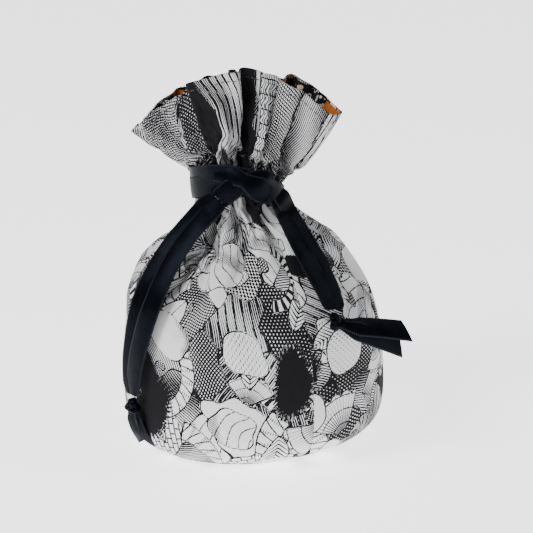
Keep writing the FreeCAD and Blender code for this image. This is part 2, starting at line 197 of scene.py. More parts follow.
def foot_pull(azimuth):
    """How far the base's edge is drawn in: a lot at the front right, and outwards at the left."""
    drawn_in = 7.0 * np.maximum(np.cos(azimuth + math.radians(52)), 0) ** 2
    return drawn_in - 2.5 * np.maximum(np.cos(azimuth + math.radians(145)), 0) ** 2


def mean_surface(azimuth):
    """The cloth without its pleats: rings (row, around, xyz), and the number of body rows."""
    rows = int(round(lengths_along(smooth_open(OUTLINE, 400))[-1] / STEP))
    outline = smooth_open(OUTLINE, rows + 1)
    height = outline[:, 1:]
    radius = outline[:, :1] - foot_pull(azimuth) * np.exp(-(height / 9) ** 2)
    shift = -3.0 * ease(height, 58, 92) + (NECK[0] + 3.0) * ease(height, 112, 130)
    lift = (tie_height(azimuth)[None] + 2 - outline[-1, 1]) * ease(height, 104, 136)
    body = np.stack([shift + radius * np.cos(azimuth), radius * np.sin(azimuth) + 0 * shift,
                     height + lift], 2)
    rim = smooth_closed(RIM, len(azimuth))
    start = body[-1]
    reach = np.linalg.norm(rim - start, axis=1).mean()
    share = np.linspace(0, 1, int(round(reach * 1.04 / STEP)) + 1)[1:, None, None]
    middle = start * 0.58 + rim * 0.42 + np.array([0, 0, 2.0])
    middle[:, 1] += 0.15 * (start[:, 1] - rim[:, 1])
    middle[:, 0] += 5.0 * np.maximum(np.cos(azimuth), 0) ** 2
    middle[:, 2] -= 3.0 * np.maximum(np.cos(azimuth), 0) ** 2
    middle[:, 0] -= 7.0 * np.maximum(-np.cos(azimuth), 0) ** 2
    ruffle = start * (1 - share) ** 2 + middle * 2 * share * (1 - share) + rim * share ** 2
    return np.concatenate([body, ruffle]), rows + 1


def surface_normals(rings):
    """Outward unit normals of a closed set of rings."""
    around = np.roll(rings, -1, 1) - np.roll(rings, 1, 1)
    return unit(np.cross(around, np.gradient(rings, axis=0)))


def round_gap(angle, centre):
    """The signed angle from centre to angle."""
    return (angle - centre + math.pi) % (2 * math.pi) - math.pi


def gathers(azimuth, rings, body_rows):
    """How deep each point lies in a pleat, 0 on the ridges to 1 in the valleys, and its lean."""
    rows = len(rings)
    below = (body_rows - 1 - np.arange(rows)) * STEP      # distance below the tie
    depth = np.zeros((rows, len(azimuth)))
    lean = np.zeros((rows, len(azimuth)))
    count = 27
    for spot in (np.arange(count) + rng.uniform(-0.28, 0.28, count)) * 2 * math.pi / count:
        weight = rng.uniform(0.65, 1.0)
        reach_down = rng.choice([26, 40, 56, 76]) * rng.uniform(0.8, 1.2)
        reach_up = rng.uniform(9, 20)
        wander = rng.uniform(-0.05, 0.05)
        fade = np.where(below >= 0, 1 - ease(below, reach_down * 0.35, reach_down),
                        1 - ease(-below, reach_up * 0.3, reach_up))
        width = 0.066 + 0.0016 * np.maximum(below, 0) ** 0.9 + 0.0022 * np.maximum(-below, 0)
        centre = spot + wander * np.maximum(below, 0) / 40
        valley = np.exp(-np.abs(round_gap(azimuth[None], centre[:, None]) / width[:, None]) ** 1.7)
        depth = np.maximum(depth, weight * fade[:, None] * valley)
    rim = rings[-1]
    rim_lengths = lengths_along(np.concatenate([rim, rim[:1]]))
    grown = ease(-below, 2, 20)[:, None]
    for x, y, weight, width, side in VALLEYS:
        spot = np.argmin(np.hypot(rim[:, 0] - x, rim[:, 1] - y))
        gap = rim_lengths[:-1] - rim_lengths[spot]
        gap = (gap + rim_lengths[-1] / 2) % rim_lengths[-1] - rim_lengths[-1] / 2
        valley = np.exp(-np.abs(gap[None] / (width * (0.75 + 0.25 * grown))) ** 1.8)
        depth = np.maximum(depth, weight * grown * valley)
        lean += side * grown * valley
    return depth, lean


def pleated(rings, depth, lean, wanted, limit):
    """Sinks the valleys until each ring is as long as its cloth."""
    normals = surface_normals(rings)
    tangent = unit(np.roll(rings, -1, 1) - np.roll(rings, 1, 1))
    sink = tangent * (lean * depth)[..., None] * 0.55 - normals * depth[..., None]
    low = np.zeros(len(rings))
    high = np.full(len(rings), limit)
    for _ in range(14):
        middle = (low + high) / 2
        moved = rings + sink * middle[:, None, None]
        long = np.linalg.norm(np.roll(moved, -1, 1) - moved, axis=2).sum(1) > wanted
        high = np.where(long, middle, high)
        low = np.where(long, low, middle)
    amount = smoothed((low + high) / 2, 5)
    return rings + sink * amount[:, None, None]


def spread_cloth(rings, count):
    """Points at even spacing round each ring from the front seam on, as the cloth lies."""
    out = np.empty((len(rings), count + 1, 3))
    for number, ring in enumerate(rings):
        out[number] = evenly(np.concatenate([ring, ring[:1]]), count + 1)
    return out


def calmed(values, times):
    """A running average round each ring and along the rows."""
    for _ in range(times):
        values = (np.roll(values, 1, 1) + 2 * values + np.roll(values, -1, 1)) / 4
    return smoothed(values, times)


def way_inward(surface, times):
    """Unit vectors towards the inside of the pouch, the same on a fold's two walls."""
    inward = -surface_normals(calmed(surface[:, :-1], times))
    return np.concatenate([inward, inward[:, :1]], 1)


def walls_apart(shape, surface, body_rows, gap):
    """The shape with its front and back walls kept off the ruffle's middle plane by a gap.

    The tips of the ruffle, where its surface turns from front to back, are left as they are.
    """
    column = np.arange(surface.shape[1])
    right = surface[..., 0].argmax(1)[:, None]
    left = surface[..., 0].argmin(1)[:, None]
    margin = 8 / STEP
    behind = (column > right + margin) & (column < left - margin)
    in_front = (column < right - margin) | (column > left + margin)
    middle = -0.019 * (surface[..., 0] - NECK[0])
    depth = shape[..., 1]
    apart = np.where(in_front, np.minimum(depth, middle - gap), depth)
    apart = np.where(behind, np.maximum(depth, middle + gap), apart)
    share = ease((np.arange(len(surface)) - body_rows) * STEP, 8, 20)[:, None]
    return np.stack([shape[..., 0], depth * (1 - share) + apart * share, shape[..., 2]], 2)


def inside_rings(surface, sunk):
    """Rings just inside every pleat, for the lining where it can't be seen.

    sunk runs from 0 to 1 with the rows: at first each point only moves straight in, and then
    the rings even out and gather in small pleats of their own.
    """
    ring = surface[:, :-1]
    sectors = 90
    centre = (ring.mean(1) * np.array([1.0, 0.0, 0.0]))[:, None]
    away = ring - centre
    own = np.arctan2(away[..., 1], away[..., 0])
    sector = np.floor((own / (2 * math.pi) % 1) * sectors).astype(int) % sectors
    reach = np.hypot(away[..., 0], away[..., 1])
    nearest = np.full((len(ring), sectors), 1e3)
    np.minimum.at(nearest, (np.arange(len(ring))[:, None], sector), reach)
    for _ in range(3):
        nearest = np.minimum(nearest, np.minimum(np.roll(nearest, 1, 1), np.roll(nearest, -1, 1)))
        nearest[1:-1] = np.minimum(nearest[1:-1], np.minimum(nearest[2:], nearest[:-2]))
    nearest = calmed(nearest[..., None], 4)[..., 0] - 1.5
    calm = calmed(away, 40)
    turn = own + round_gap(np.arctan2(calm[..., 1], calm[..., 0]), own) * sunk
    place = (turn / (2 * math.pi) % 1) * sectors - 0.5
    low = np.floor(place).astype(int)
    share = place - low
    rows = np.arange(len(ring))[:, None]
    radius = nearest[rows, low % sectors] * (1 - share) + nearest[rows, (low + 1) % sectors] * share
    drawn_in = ease(calm[..., 2].mean(1), 84, 118)[:, None] * sunk
    radius = np.maximum(radius - 5.0 * drawn_in * (0.5 - 0.5 * np.cos(30 * turn)), 0.4)
    inner = np.stack([centre[..., 0] + radius * np.cos(turn), centre[..., 1] + radius * np.sin(turn),
                      calm[..., 2] * sunk + away[..., 2] * (1 - sunk)], 2)
    return np.concatenate([inner, inner[:, :1]], 1)


def soft_dents(azimuth, rings):
    """Slack and dents of filled cloth, in millimetres along the normal."""
    height = rings[..., 2]
    total = np.zeros(height.shape)
    waves = np.random.default_rng(21)
    for _ in range(26):
        turns = waves.integers(1, 9)
        pitch = waves.uniform(-0.09, 0.09)
        phase = waves.uniform(0, 6.28)
        size = waves.uniform(0.2, 1.0) / (1 + 0.25 * turns)
        total += size * np.sin(turns * azimuth[None] + pitch * height + phase)
    shoulder = np.exp(-((height - 96) / 26) ** 2)
    return total * (0.32 + 0.25 * shoulder) * ease(height, 3, 16) * (1 - ease(height, 118, 128))


def cut_shape(ring_lengths, gap):
    """The cloth as it was cut, rolled up unpleated: rings with the cloth's own lengths."""
    radius = ring_lengths / (2 * math.pi)
    rise = np.sqrt(np.maximum(gap ** 2 - np.diff(radius) ** 2, (0.2 * gap) ** 2))
    height = np.concatenate([[0], np.cumsum(rise)])
    return radius, height


def settled(surface, body_rows, ring_lengths):
    """Lets the cloth settle in a cloth simulation on every few rows and columns of its grid.

    The springs' rest lengths are those of the cloth as cut, so the gathers bulge and crease as
    the surplus cloth needs.  The seam at the base and the tie hold still.
    """
    rows, columns = surface.shape[:2]
    every = max(int(round(SETTLING_GRID / STEP)), 1)
    row_at = np.unique(np.append(np.arange(0, rows, every), rows - 1))
    column_at = np.linspace(0, columns - 1, int(round((columns - 1) / every)) + 1).round().astype(int)
    coarse = surface[row_at][:, column_at]
    ring = coarse[:, :-1]
    count = ring.shape[1]
    scale = 10.0                                          # simulated ten times as large
    piece = new_object("settling", ring.reshape(-1, 3) * scale,
                       grid_faces(len(row_at), count, closed=True))
    radius, height = cut_shape(ring_lengths[row_at], STEP * np.diff(row_at))
    turn = np.arange(count) * 2 * math.pi / count
    cut = np.stack([radius[:, None] * np.cos(turn), radius[:, None] * np.sin(turn),
                    height[:, None] + 0 * turn], 2)
    piece.shape_key_add(name="made")
    key = piece.shape_key_add(name="cut")
    key.data.foreach_set("co", (cut * scale * MM).ravel())
    from_tie = (row_at - body_rows) * STEP
    hold = np.where(np.abs(from_tie + 1) < 7, 1.0, 0.0)
    hold[:2] = 1.0
    hold = np.maximum(hold, 0.8 * ease(from_tie, 30, 52))
    hold = np.maximum(hold, np.where(from_tie < 0, 0.13, 0.09))
    add_group(piece, "held", hold, count)
    add_group(piece, "filled", (from_tie < -14).astype(float), count)
    cloth = piece.modifiers.new("settle", "CLOTH")
    cloth.settings.quality = 7
    cloth.settings.mass = 0.25
    cloth.settings.tension_stiffness = 25
    cloth.settings.compression_stiffness = 25
    cloth.settings.shear_stiffness = 8
    cloth.settings.bending_stiffness = 0.6
    cloth.settings.tension_damping = 12
    cloth.settings.compression_damping = 12
    cloth.settings.air_damping = 2
    cloth.settings.vertex_group_mass = "held"
    cloth.settings.pin_stiffness = 1.0
    cloth.settings.rest_shape_key = piece.data.shape_keys.key_blocks["cut"]
    cloth.settings.use_pressure = True
    cloth.settings.uniform_pressure_force = 3.0
    cloth.settings.effector_weights.gravity = 0.25
    cloth.settings.vertex_group_pressure = "filled"
    cloth.collision_settings.use_self_collision = True
    cloth.collision_settings.self_distance_min = 0.9 * scale * MM
    cloth.collision_settings.use_collision = False
    cloth.point_cache.frame_end = SETTLING_FRAMES
    scene = bpy.context.scene
    for number in range(1, SETTLING_FRAMES + 1):
        scene.frame_set(number)
    moved = piece.evaluated_get(bpy.context.evaluated_depsgraph_get())
    places = np.empty(len(moved.data.vertices) * 3)
    moved.data.vertices.foreach_get("co", places)
    shift = places.reshape(ring.shape) / (scale * MM) - ring
    scene.frame_set(1)
    bpy.data.objects.remove(piece)
    shift = np.concatenate([shift, shift[:, :1]], 1)
    return surface + stretched(shift, row_at, column_at, rows, columns)


def add_group(piece, name, row_weights, count):
    """A vertex group with one weight for each ring."""
    group = piece.vertex_groups.new(name=name)
    for number, weight in enumerate(row_weights):
        if weight > 0:
            group.add(list(range(number * count, (number + 1) * count)), float(weight), "REPLACE")


def stretched(values, row_at, column_at, rows, columns):
    """Coarse values brought to every row and column of the full grid."""
    wide = np.empty((len(row_at), columns, 3))
    full = np.empty((rows, columns, 3))
    for k in range(3):
        for number in range(len(row_at)):
            wide[number, :, k] = np.interp(np.arange(columns), column_at, values[number, :, k])
        for number in range(columns):
            full[:, number, k] = np.interp(np.arange(rows), row_at, wide[:, number, k])
    return full


def cloth_rings():
    """The outer surface from base seam to rim: (row, around, xyz) and the body's rows."""
    fine = 3000
    azimuth = np.arange(fine) * 2 * math.pi / fine
    rings, body_rows = mean_surface(azimuth)
    depth, lean = gathers(azimuth, rings, body_rows)
    rings = rings + surface_normals(rings) * soft_dents(azimuth, rings)[..., None]
    natural = np.linalg.norm(np.roll(rings, -1, 1) - rings, axis=2).sum(1)
    height = rings[..., 2].mean(1)
    in_body = np.arange(len(rings)) < body_rows
    cloth = smoothed(np.where(in_body, CLOTH_ROUND, RUFFLE_ROUND), 60)
    cloth = np.maximum(natural, cloth)
    taken = np.where(in_body, ease(height, 56, 120), 1.0)
    wanted = smoothed(natural + (cloth - natural) * taken, 10)
    surface = pleated(rings, depth, lean, wanted, 13.0)
    seam = int(round(SEAM_AZIMUTH / (2 * math.pi) * fine)) % fine
    surface = spread_cloth(np.roll(surface, -seam, 1), int(round(CLOTH_ROUND / STEP / 2)) * 2)
    surface = settled(walls_apart(surface, surface, body_rows, WALL_GAP), body_rows, wanted)
    return walls_apart(surface, surface, body_rows, WALL_GAP), body_rows


# ---- the print -------------------------------------------------------------------------------
# The print is a made-up pen-and-ink pattern of stones, leaves, wound bands, fans and hatching.
# Each point of the cloth carries what is drawn there, and the material draws the lines: two
# families of lines, their phases and thicknesses, and the distance to the nearest outline.

# Black tufts: where each is round and up the flat cloth, and its size.
TUFTS = [((318, 30), 19), ((398, 52), 18), ((120, 50), 18), ((186, 96), 16), ((232, 36), 15)]

# The ruffle's upright strips: middle, half width and texture.
STRIPS = [(272, 9, "strands"), (293, 15, "cross"), (322, 12, "flecks"), (341, 8, "black"),
          (365, 17, "planks"), (391, 7, "black"), (4, 9, "chevrons"), (24, 11, "cross"),
          (45, 10, "hair"), (66, 11, "planks")]

FIELDS = {"phase_a": 0.0, "phase_b": 0.0, "thick_a": -1.0, "thick_b": -1.0,
          "brick": 0.0, "dots": 0.0}


class Drawing:
    """A picture on the flat cloth, built up from shapes laid one over another."""

    def __init__(self, across, along, around):
        self.across = across
        self.along = along
        self.around = around
        self.field = {name: np.full(across.shape, blank) for name, blank in FIELDS.items()}
        self.edge = np.full(across.shape, 50.0)

    def local(self, centre, turn):
        """Coordinates about a centre, turned; going round, the cloth joins up with itself."""
        step = (self.across - centre[0] + self.around / 2) % self.around - self.around / 2
        rise = self.along - centre[1]
        cos, sin = math.cos(turn), math.sin(turn)
        return step * cos + rise * sin, rise * cos - step * sin

    def lay(self, inside, values):
        """Puts a shape on top; inside is the distance in from its outline, in millimetres."""
        covered = inside > 0
        self.edge = np.where(covered, inside, np.minimum(self.edge, -inside))
        for name, blank in FIELDS.items():
            self.field[name] = np.where(covered, values.get(name, blank), self.field[name])

    def stroke(self, distance, allowed):
        """A pen line along a curve."""
        self.edge = np.where(allowed, np.minimum(self.edge, distance), self.edge)


def texture(kind, x, y, draw):
    """Line phases and thicknesses of one kind of pen texture in a shape's own coordinates."""
    bend = 0.5 * np.sin(0.21 * y + draw.uniform(0, 6)) + 0.35 * np.sin(0.13 * x + 0.3 * y)
    swell = 0.5 + 0.5 * np.sin(0.17 * x + 0.11 * y + draw.uniform(0, 6))
    textures = {
        "white": {},
        "black": {"thick_a": 1.2},
        "cross": {"phase_a": (x + bend) / 1.45, "thick_a": 0.42 + 0.22 * swell,
                  "phase_b": (y + 0.3 * x) / 1.6, "thick_b": 0.40 + 0.15 * swell},
        "flecks": {"phase_a": (x + bend) / 1.7, "thick_a": 0.62 + 0.12 * swell,
                   "phase_b": y / 2.0, "thick_b": 0.55 + 0.2 * swell, "brick": 1.0},
        "planks": {"phase_a": x / 4.6, "thick_a": 0.22,
                   "phase_b": (x + 0.6 * bend + 0.05 * y) / 1.15, "thick_b": 0.30 + 0.5 * swell},
        "bricks": {"phase_a": x / 3.2, "thick_a": 0.24,
                   "phase_b": y / 5.5, "thick_b": 0.14, "brick": 1.0},
        "chevrons": {"phase_a": (x + np.abs((y / 3.4) % 2 - 1) * 2.4) / 1.9, "thick_a": 0.45,
                     "phase_b": y / 6.8 + 0.25, "thick_b": 0.1},
        "strands": {"phase_a": (x + 1.6 * np.sin(0.16 * y) + bend) / 1.9,
                    "thick_a": 0.10 + 0.70 * swell},
        "hair": {"phase_a": (x + 2.2 * np.sin(0.11 * y) + bend) / 1.3, "thick_a": 0.5 + 0.45 * swell},
        "wrap": {"phase_a": (x + 0.012 * y * y + 2.5 * bend) / 6.2, "thick_a": 0.10,
                 "phase_b": (y + bend) / 1.1, "thick_b": 0.8 * ease(swell, 0.72, 1.0) - 0.3},
        "beads": {"phase_a": x / 1.9, "phase_b": y / 1.9 + 0.5 * np.floor(x / 1.9),
                  "thick_a": 0.62 + 0.1 * swell, "dots": 2.0},
        "stipple": {"phase_a": x / 2.3, "phase_b": y / 2.3 + 0.5 * np.floor(x / 2.3),
                    "thick_a": 0.26 + 0.2 * swell, "dots": 1.0},
    }
    return textures[kind]


def patchwork(drawing, draw):
    """The ground: irregular patches, each with its own texture, upright in the ruffle."""
    kinds = ["cross", "flecks", "black", "planks", "hair", "black", "strands", "beads",
             "cross", "bricks", "hair", "black", "white", "white", "wrap", "planks"]
    upright = ["planks", "hair", "cross", "strands", "planks", "cross", "black", "flecks", "hair"]
    columns, rows = 15, 9
    width, height = drawing.around / columns, drawing.along.max() / rows
    nearest = np.full(drawing.across.shape, 1e9)
    second = np.full(drawing.across.shape, 1e9)
    owner = np.zeros(drawing.across.shape, int)
    sway = 2.2 * np.sin(0.19 * drawing.along) + 1.7 * np.sin(0.31 * drawing.along + 1.0)
    rock = 2.0 * np.sin(2 * math.pi * 23 * drawing.across / drawing.around)
    tall = 1 - 0.5 * ease(drawing.along, RUFFLE_STARTS - 14, RUFFLE_STARTS)
    sites = []
    for row in range(rows):
        for column in range(columns):
            site = ((column + 0.5 * (row % 2) + draw.uniform(-0.36, 0.36)) * width,
                    (row + 0.5 + draw.uniform(-0.36, 0.36)) * height)
            x, y = drawing.local(site, 0.0)
            distance = np.hypot(x + sway, (y + rock) * tall)
            closer = distance < nearest
            second = np.where(closer, nearest, np.minimum(second, distance))
            owner = np.where(closer, len(sites), owner)
            nearest = np.where(closer, distance, nearest)
            sites.append(site)
    drawing.edge = (second - nearest) / 2
    for number, site in enumerate(sites):
        mine = owner == number
        in_ruffle = site[1] > RUFFLE_STARTS - 6
        x, y = drawing.local(site, draw.uniform(-0.25, 0.25) if in_ruffle else draw.uniform(0, math.pi))
        for name, value in texture(draw.choice(upright if in_ruffle else kinds), x, y, draw).items():
            drawing.field[name] = np.where(mine, value, drawing.field[name])


def stone(drawing, draw, centre, size, kind):
    """A rounded shape, shaded along one side where it is white."""
    x, y = drawing.local(centre, draw.uniform(0, 6.28))
    y = y * draw.uniform(1.0, 1.6)
    angle = np.arctan2(y, x)
    waves = [draw.uniform(-0.13, 0.13) / k ** 0.5 * np.cos(k * angle + draw.uniform(0, 6.28))
             for k in range(2, 6)]
    inside = (size * (1 + sum(waves)) - np.hypot(x, y)) * 0.85
    values = texture(kind, x, y, draw)
    if kind == "white":
        rim = 1 - ease(inside, 0.5, size * 0.36)
        values = {"phase_a": (x * 0.8 + y * 0.6) / 1.25,
                  "thick_a": 1.0 * ease(np.cos(angle - 0.6), 0.1, 1.0) * rim - 0.3}
    drawing.lay(inside, values)


def leaf(drawing, draw, centre, size, kind):
    """A pointed leaf with a midrib."""
    x, y = drawing.local(centre, draw.uniform(0, 6.28))
    y = y + 0.10 * size * np.sin(x / size * 1.6)
    bow = size * 1.25
    inside = bow - np.hypot(x, np.abs(y) + bow - size * 0.42)
    veins = {"phase_a": (x - np.abs(y) * 0.9) / 2.4, "thick_a": 0.20 + 0.25 * ease(inside, 0, 4)}
    drawing.lay(inside, veins if kind == "veins" else texture(kind, x, y, draw))
    drawing.stroke(np.abs(y) + 0.1, inside > 0.3)


def wound_band(drawing, draw, centre, size, kind):
    """Part of a ring, as a strip with lines across it or along it."""
    x, y = drawing.local(centre, draw.uniform(0, 6.28))
    angle = np.arctan2(y, x)
    far = np.hypot(x, y)
    half = size * draw.uniform(0.16, 0.26)
    span = draw.uniform(1.0, 2.4)
    inside = np.minimum(half - np.abs(far - size), (span - np.abs(angle)) * size)
    along = angle * size
    drawing.lay(inside, {
        "wound": {"phase_a": (along + (far - size) * 0.5) / 5.2, "thick_a": 0.15,
                  "phase_b": (far - size) / 1.3, "thick_b": 0.7 * ease(np.sin(along), 0, 1) - 0.3},
        "stripes": {"phase_a": along / 4.4, "thick_a": 0.50},
        "strands": {"phase_a": (far + 0.4 * np.sin(along * 0.4)) / 1.5,
                    "thick_a": 0.45 + 0.25 * np.sin(along * 0.3)},
    }[kind])


def fan(drawing, draw, centre, size):
    """A scalloped fan with strokes that run out from its foot and taper."""
    x, y = drawing.local(centre, draw.uniform(0, 6.28))
    angle = np.arctan2(y, x)
    far = np.hypot(x, y)
    ribs = draw.integers(5, 9)
    half = draw.uniform(0.6, 1.05)
    reach = size * (1 + 0.09 * np.abs(np.sin(angle / half * ribs * math.pi / 2)))
    inside = np.minimum(reach - far, (half - np.abs(angle)) * far)
    drawing.lay(np.minimum(inside, far - size * 0.16),
                {"phase_a": angle / half * ribs * 1.5 + 0.5,
                 "thick_a": 0.1 + 0.75 * (1 - ease(far, size * 0.15, size * 0.85)),
                 "phase_b": far / (size * 0.33), "thick_b": 0.09})


def tuft(drawing, draw, centre, size):
    """A black mass with hairy edges."""
    x, y = drawing.local(centre, draw.uniform(0, 6.28))
    y = y * draw.uniform(1.1, 1.5)
    angle = np.arctan2(y, x)
    hairs = draw.integers(40, 56)
    lump = 1 + 0.14 * np.sin(2 * angle + 1) + 0.09 * np.sin(3 * angle)
    saw = np.abs((angle / (2 * math.pi) * hairs + 0.35 * np.sin(5 * angle)) % 1 - 0.5) * 2
    inside = (size * lump * (0.74 + 0.26 * saw) - np.hypot(x, y)) * 0.4
    drawing.lay(inside, texture("black", x, y, draw))


def strip(drawing, draw, middle, half, kind):
    """A tall upright strip of the ruffle's print."""
    x, y = drawing.local((middle, RUFFLE_STARTS), draw.uniform(-0.04, 0.04))
    drawing.lay(np.minimum(half - np.abs(x + 1.5 * np.sin(0.15 * y)), y + 6), texture(kind, x, y, draw))


def scattered(draw, drawing, count, gap):
    """Centres strewn over the cloth below the ruffle, none closer together than gap."""
    centres = []
    for _ in range(count * 40):
        spot = (draw.uniform(0, drawing.around), draw.uniform(-2, RUFFLE_STARTS - 8))
        apart = [math.hypot((spot[0] - other[0] + drawing.around / 2) % drawing.around
                            - drawing.around / 2, spot[1] - other[1]) for other in centres]
        if min(apart, default=gap) >= gap:
            centres.append(spot)
        if len(centres) == count:
            break
    return centres


def draw_print(across, along, around, seed):
    """The whole print on flat cloth, as one value of each field for every point."""
    draw = np.random.default_rng(seed)
    drawing = Drawing(across, along, around)
    patchwork(drawing, draw)
    for spot in scattered(draw, drawing, 40, 24):
        stone(drawing, draw, spot, draw.uniform(3.0, 6.0), draw.choice(["stipple", "cross"]))
    for spot in scattered(draw, drawing, 24, 36):
        wound_band(drawing, draw, spot, draw.uniform(14, 24),
                   draw.choice(["wound", "stripes", "strands"]))
    for spot in scattered(draw, drawing, 22, 36):
        fan(drawing, draw, spot, draw.uniform(14, 23))
    for spot in scattered(draw, drawing, 26, 32):
        leaf(drawing, draw, spot, draw.uniform(11, 19), draw.choice(["veins", "white", "veins", "black"]))
    for spot in scattered(draw, drawing, 34, 33):
        stone(drawing, draw, spot, draw.uniform(10.0, 17.0),
              draw.choice(["white", "wrap", "white", "white", "stipple", "hair"]))
    for centre, size in TUFTS:
        tuft(drawing, draw, centre, size)
    for middle, half, kind in STRIPS:
        strip(drawing, draw, middle, half, kind)
    return drawing


def ink_cloth(piece, across, along, around, seed):
    """Stores the print and the cloth's own coordinates on a piece's points."""
    drawing = draw_print(across, along, around, seed)
    field = drawing.field
    store(piece, "print_lines", field["phase_a"], field["phase_b"], field["brick"])
    store(piece, "print_ink", field["thick_a"], field["thick_b"], field["dots"])
    store(piece, "cloth", across, along, drawing.edge)


# ---- meshes ----------------------------------------------------------------------------------

def store(piece, name, *parts):
    """Saves three numbers for each point of a mesh as a vector attribute."""
    values = np.stack([np.broadcast_to(part, parts[0].shape).ravel() for part in parts], 1)
    attribute = piece.data.attributes.new(name, "FLOAT_VECTOR", "POINT")
    attribute.data.foreach_set("vector", values.astype(np.float32).ravel())


def new_object(name, points, faces):
    """A smooth-shaded mesh object, from points in millimetres."""
    mesh = bpy.data.meshes.new(name)
    mesh.from_pydata((np.asarray(points) * MM).tolist(), [], faces)
    mesh.polygons.foreach_set("use_smooth", [True] * len(mesh.polygons))
    mesh.update()
    piece = bpy.data.objects.new(name, mesh)
    bpy.context.scene.collection.objects.link(piece)
    return piece


def grid_faces(rows, columns, closed=False):
    """Quads of a grid of rows by columns, outward when rows go up and columns anticlockwise."""
    row, column = np.meshgrid(np.arange(rows - 1), np.arange(columns if closed else columns - 1),
                              indexing="ij")
    first = row * columns + column
    second = row * columns + (column + 1) % columns
    return np.stack([first, second, second + columns, first + columns], 2).reshape(-1, 4).tolist()


def grid_object(name, grid, closed=False):
    """A mesh object from a grid of points."""
    rows, columns = grid.shape[:2]
    return new_object(name, grid.reshape(-1, 3), grid_faces(rows, columns, closed))


def swept(line, side, out, section):
    """Rings of a closed section carried along a line; section is (across, outward) pairs."""
    section = np.asarray(section)
    if section.ndim == 2:
        section = np.broadcast_to(section, (len(line),) + section.shape)
    return (line[:, None] + side[:, None] * section[..., :1] + out[:, None] * section[..., 1:])


def capped(name, rings, closed_line=False):
    """A mesh of closed rings, its two ends closed unless the line is a loop."""
    rows, columns = rings.shape[:2]
    if closed_line:
        rings = np.concatenate([rings, rings[:1]])
        rows += 1
    faces = grid_faces(rows, columns, closed=True)
    if not closed_line:
        faces.append(list(range(columns))[::-1])
        faces.append(list(range((rows - 1) * columns, rows * columns)))
    return new_object(name, rings.reshape(-1, 3), faces)


# ---- cloth pieces ----------------------------------------------------------------------------

def rolled_rim(surface, inward):
    """Extra rows that turn the rim over to the inside."""
    top = surface[-1]
    up = unit(surface[-1] - surface[-3])
    turns = np.linspace(0, math.pi, 6)[1:, None, None]
    inner = inward[-1] * RIM_THICKNESS
    return top + inner - inner * np.cos(turns) + up * RIM_THICKNESS * np.sin(turns)


def follow_ruffle(piece):
    """Bakes the piece's transform into its points."""
    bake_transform(piece)


def cloth_tree(surface):
    """A search tree of the cloth's faces."""
    rows, columns = surface.shape[:2]
    return BVHTree.FromPolygons((surface.reshape(-1, 3)).tolist(), grid_faces(rows, columns))


def kept_inside(lining, surface):
    """The lining moved back in wherever it would come through the outer cloth."""
    tree = cloth_tree(surface)
    points = lining.reshape(-1, 3).copy()
    for number, point in enumerate(points):
        hit, normal, _, _ = tree.find_nearest(Vector(point))
        if (hit - Vector(point)).dot(normal) < 0.3:
            points[number] = hit - 0.3 * normal
    return points.reshape(lining.shape)


def build_cloth(surface, body_rows, print_look, lining_look):
    """The outer cloth and the lining, each in a front and a back half."""
    rows, columns = surface.shape[:2]
    half = (columns - 1) // 2
    inward = way_inward(surface, int(round(30 / STEP)))
    around = np.linspace(0, CLOTH_ROUND, columns)[None]
    up = (np.arange(rows) * STEP)[:, None]
    groove = np.exp(-(np.minimum(around % (CLOTH_ROUND / 2),
                                 CLOTH_ROUND / 2 - around % (CLOTH_ROUND / 2)) / 0.8) ** 2)
    stitch_dip = np.exp(-((up - (up.max() - RIM_STITCHES_DOWN)) / 0.7) ** 2)
    pucker = 0.6 + 0.4 * np.sin(around * 2 * math.pi / 3.2)
    outer = surface + inward * (0.45 * groove + 0.3 * stitch_dip * pucker)[..., None]
    from_rim = up.max() - up
    lining = surface + way_inward(surface, 3) * LINING_GAP
    in_tips = ease(np.abs(surface[..., 0] - NECK[0]), 22, 32) * (1 - ease(from_rim, 38, 50))
    hidden = (ease(from_rim, 15, 27) * (1 - in_tips))[..., None]
    within = inside_rings(surface, ease(from_rim, 26, 44)) + 1.0 * inward
    lining = walls_apart(lining * (1 - hidden) + within * hidden, surface, body_rows, 0.25)
    lining = kept_inside(lining[::2], surface)
    rim = rolled_rim(outer, inward)
    outer = np.concatenate([outer, rim])
    up_outer = (np.arange(len(outer)) * STEP)[:, None]
    for side, span in {"back": slice(0, half + 1), "front": slice(half, columns)}.items():
        piece = grid_object("outer_%s_cloth" % side, outer[:, span])
        across, along = np.broadcast_arrays(around[:, span], up_outer)
        ink_cloth(piece, across, along, CLOTH_ROUND, {"back": 11, "front": 5}[side])
        piece.data.materials.append(print_look)
        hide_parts("outer_%s_panel" % side, "outer_%s_ruffle" % side)
        finish_cloth(piece)
        inner = grid_object("lining_%s_cloth" % side, lining[:, span][:, ::-1])
        across, along = np.broadcast_arrays(around[:, span][:, ::-1], up[::2])
        store(inner, "cloth", across, along, 0 * along)
        inner.data.materials.append(lining_look)
        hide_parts("lining_%s_panel" % side, "lining_%s_ruffle" % side)
        finish_cloth(inner)
    return outer


def finish_cloth(piece):
    """Bakes the piece's transform into its points."""
    follow_ruffle(piece)


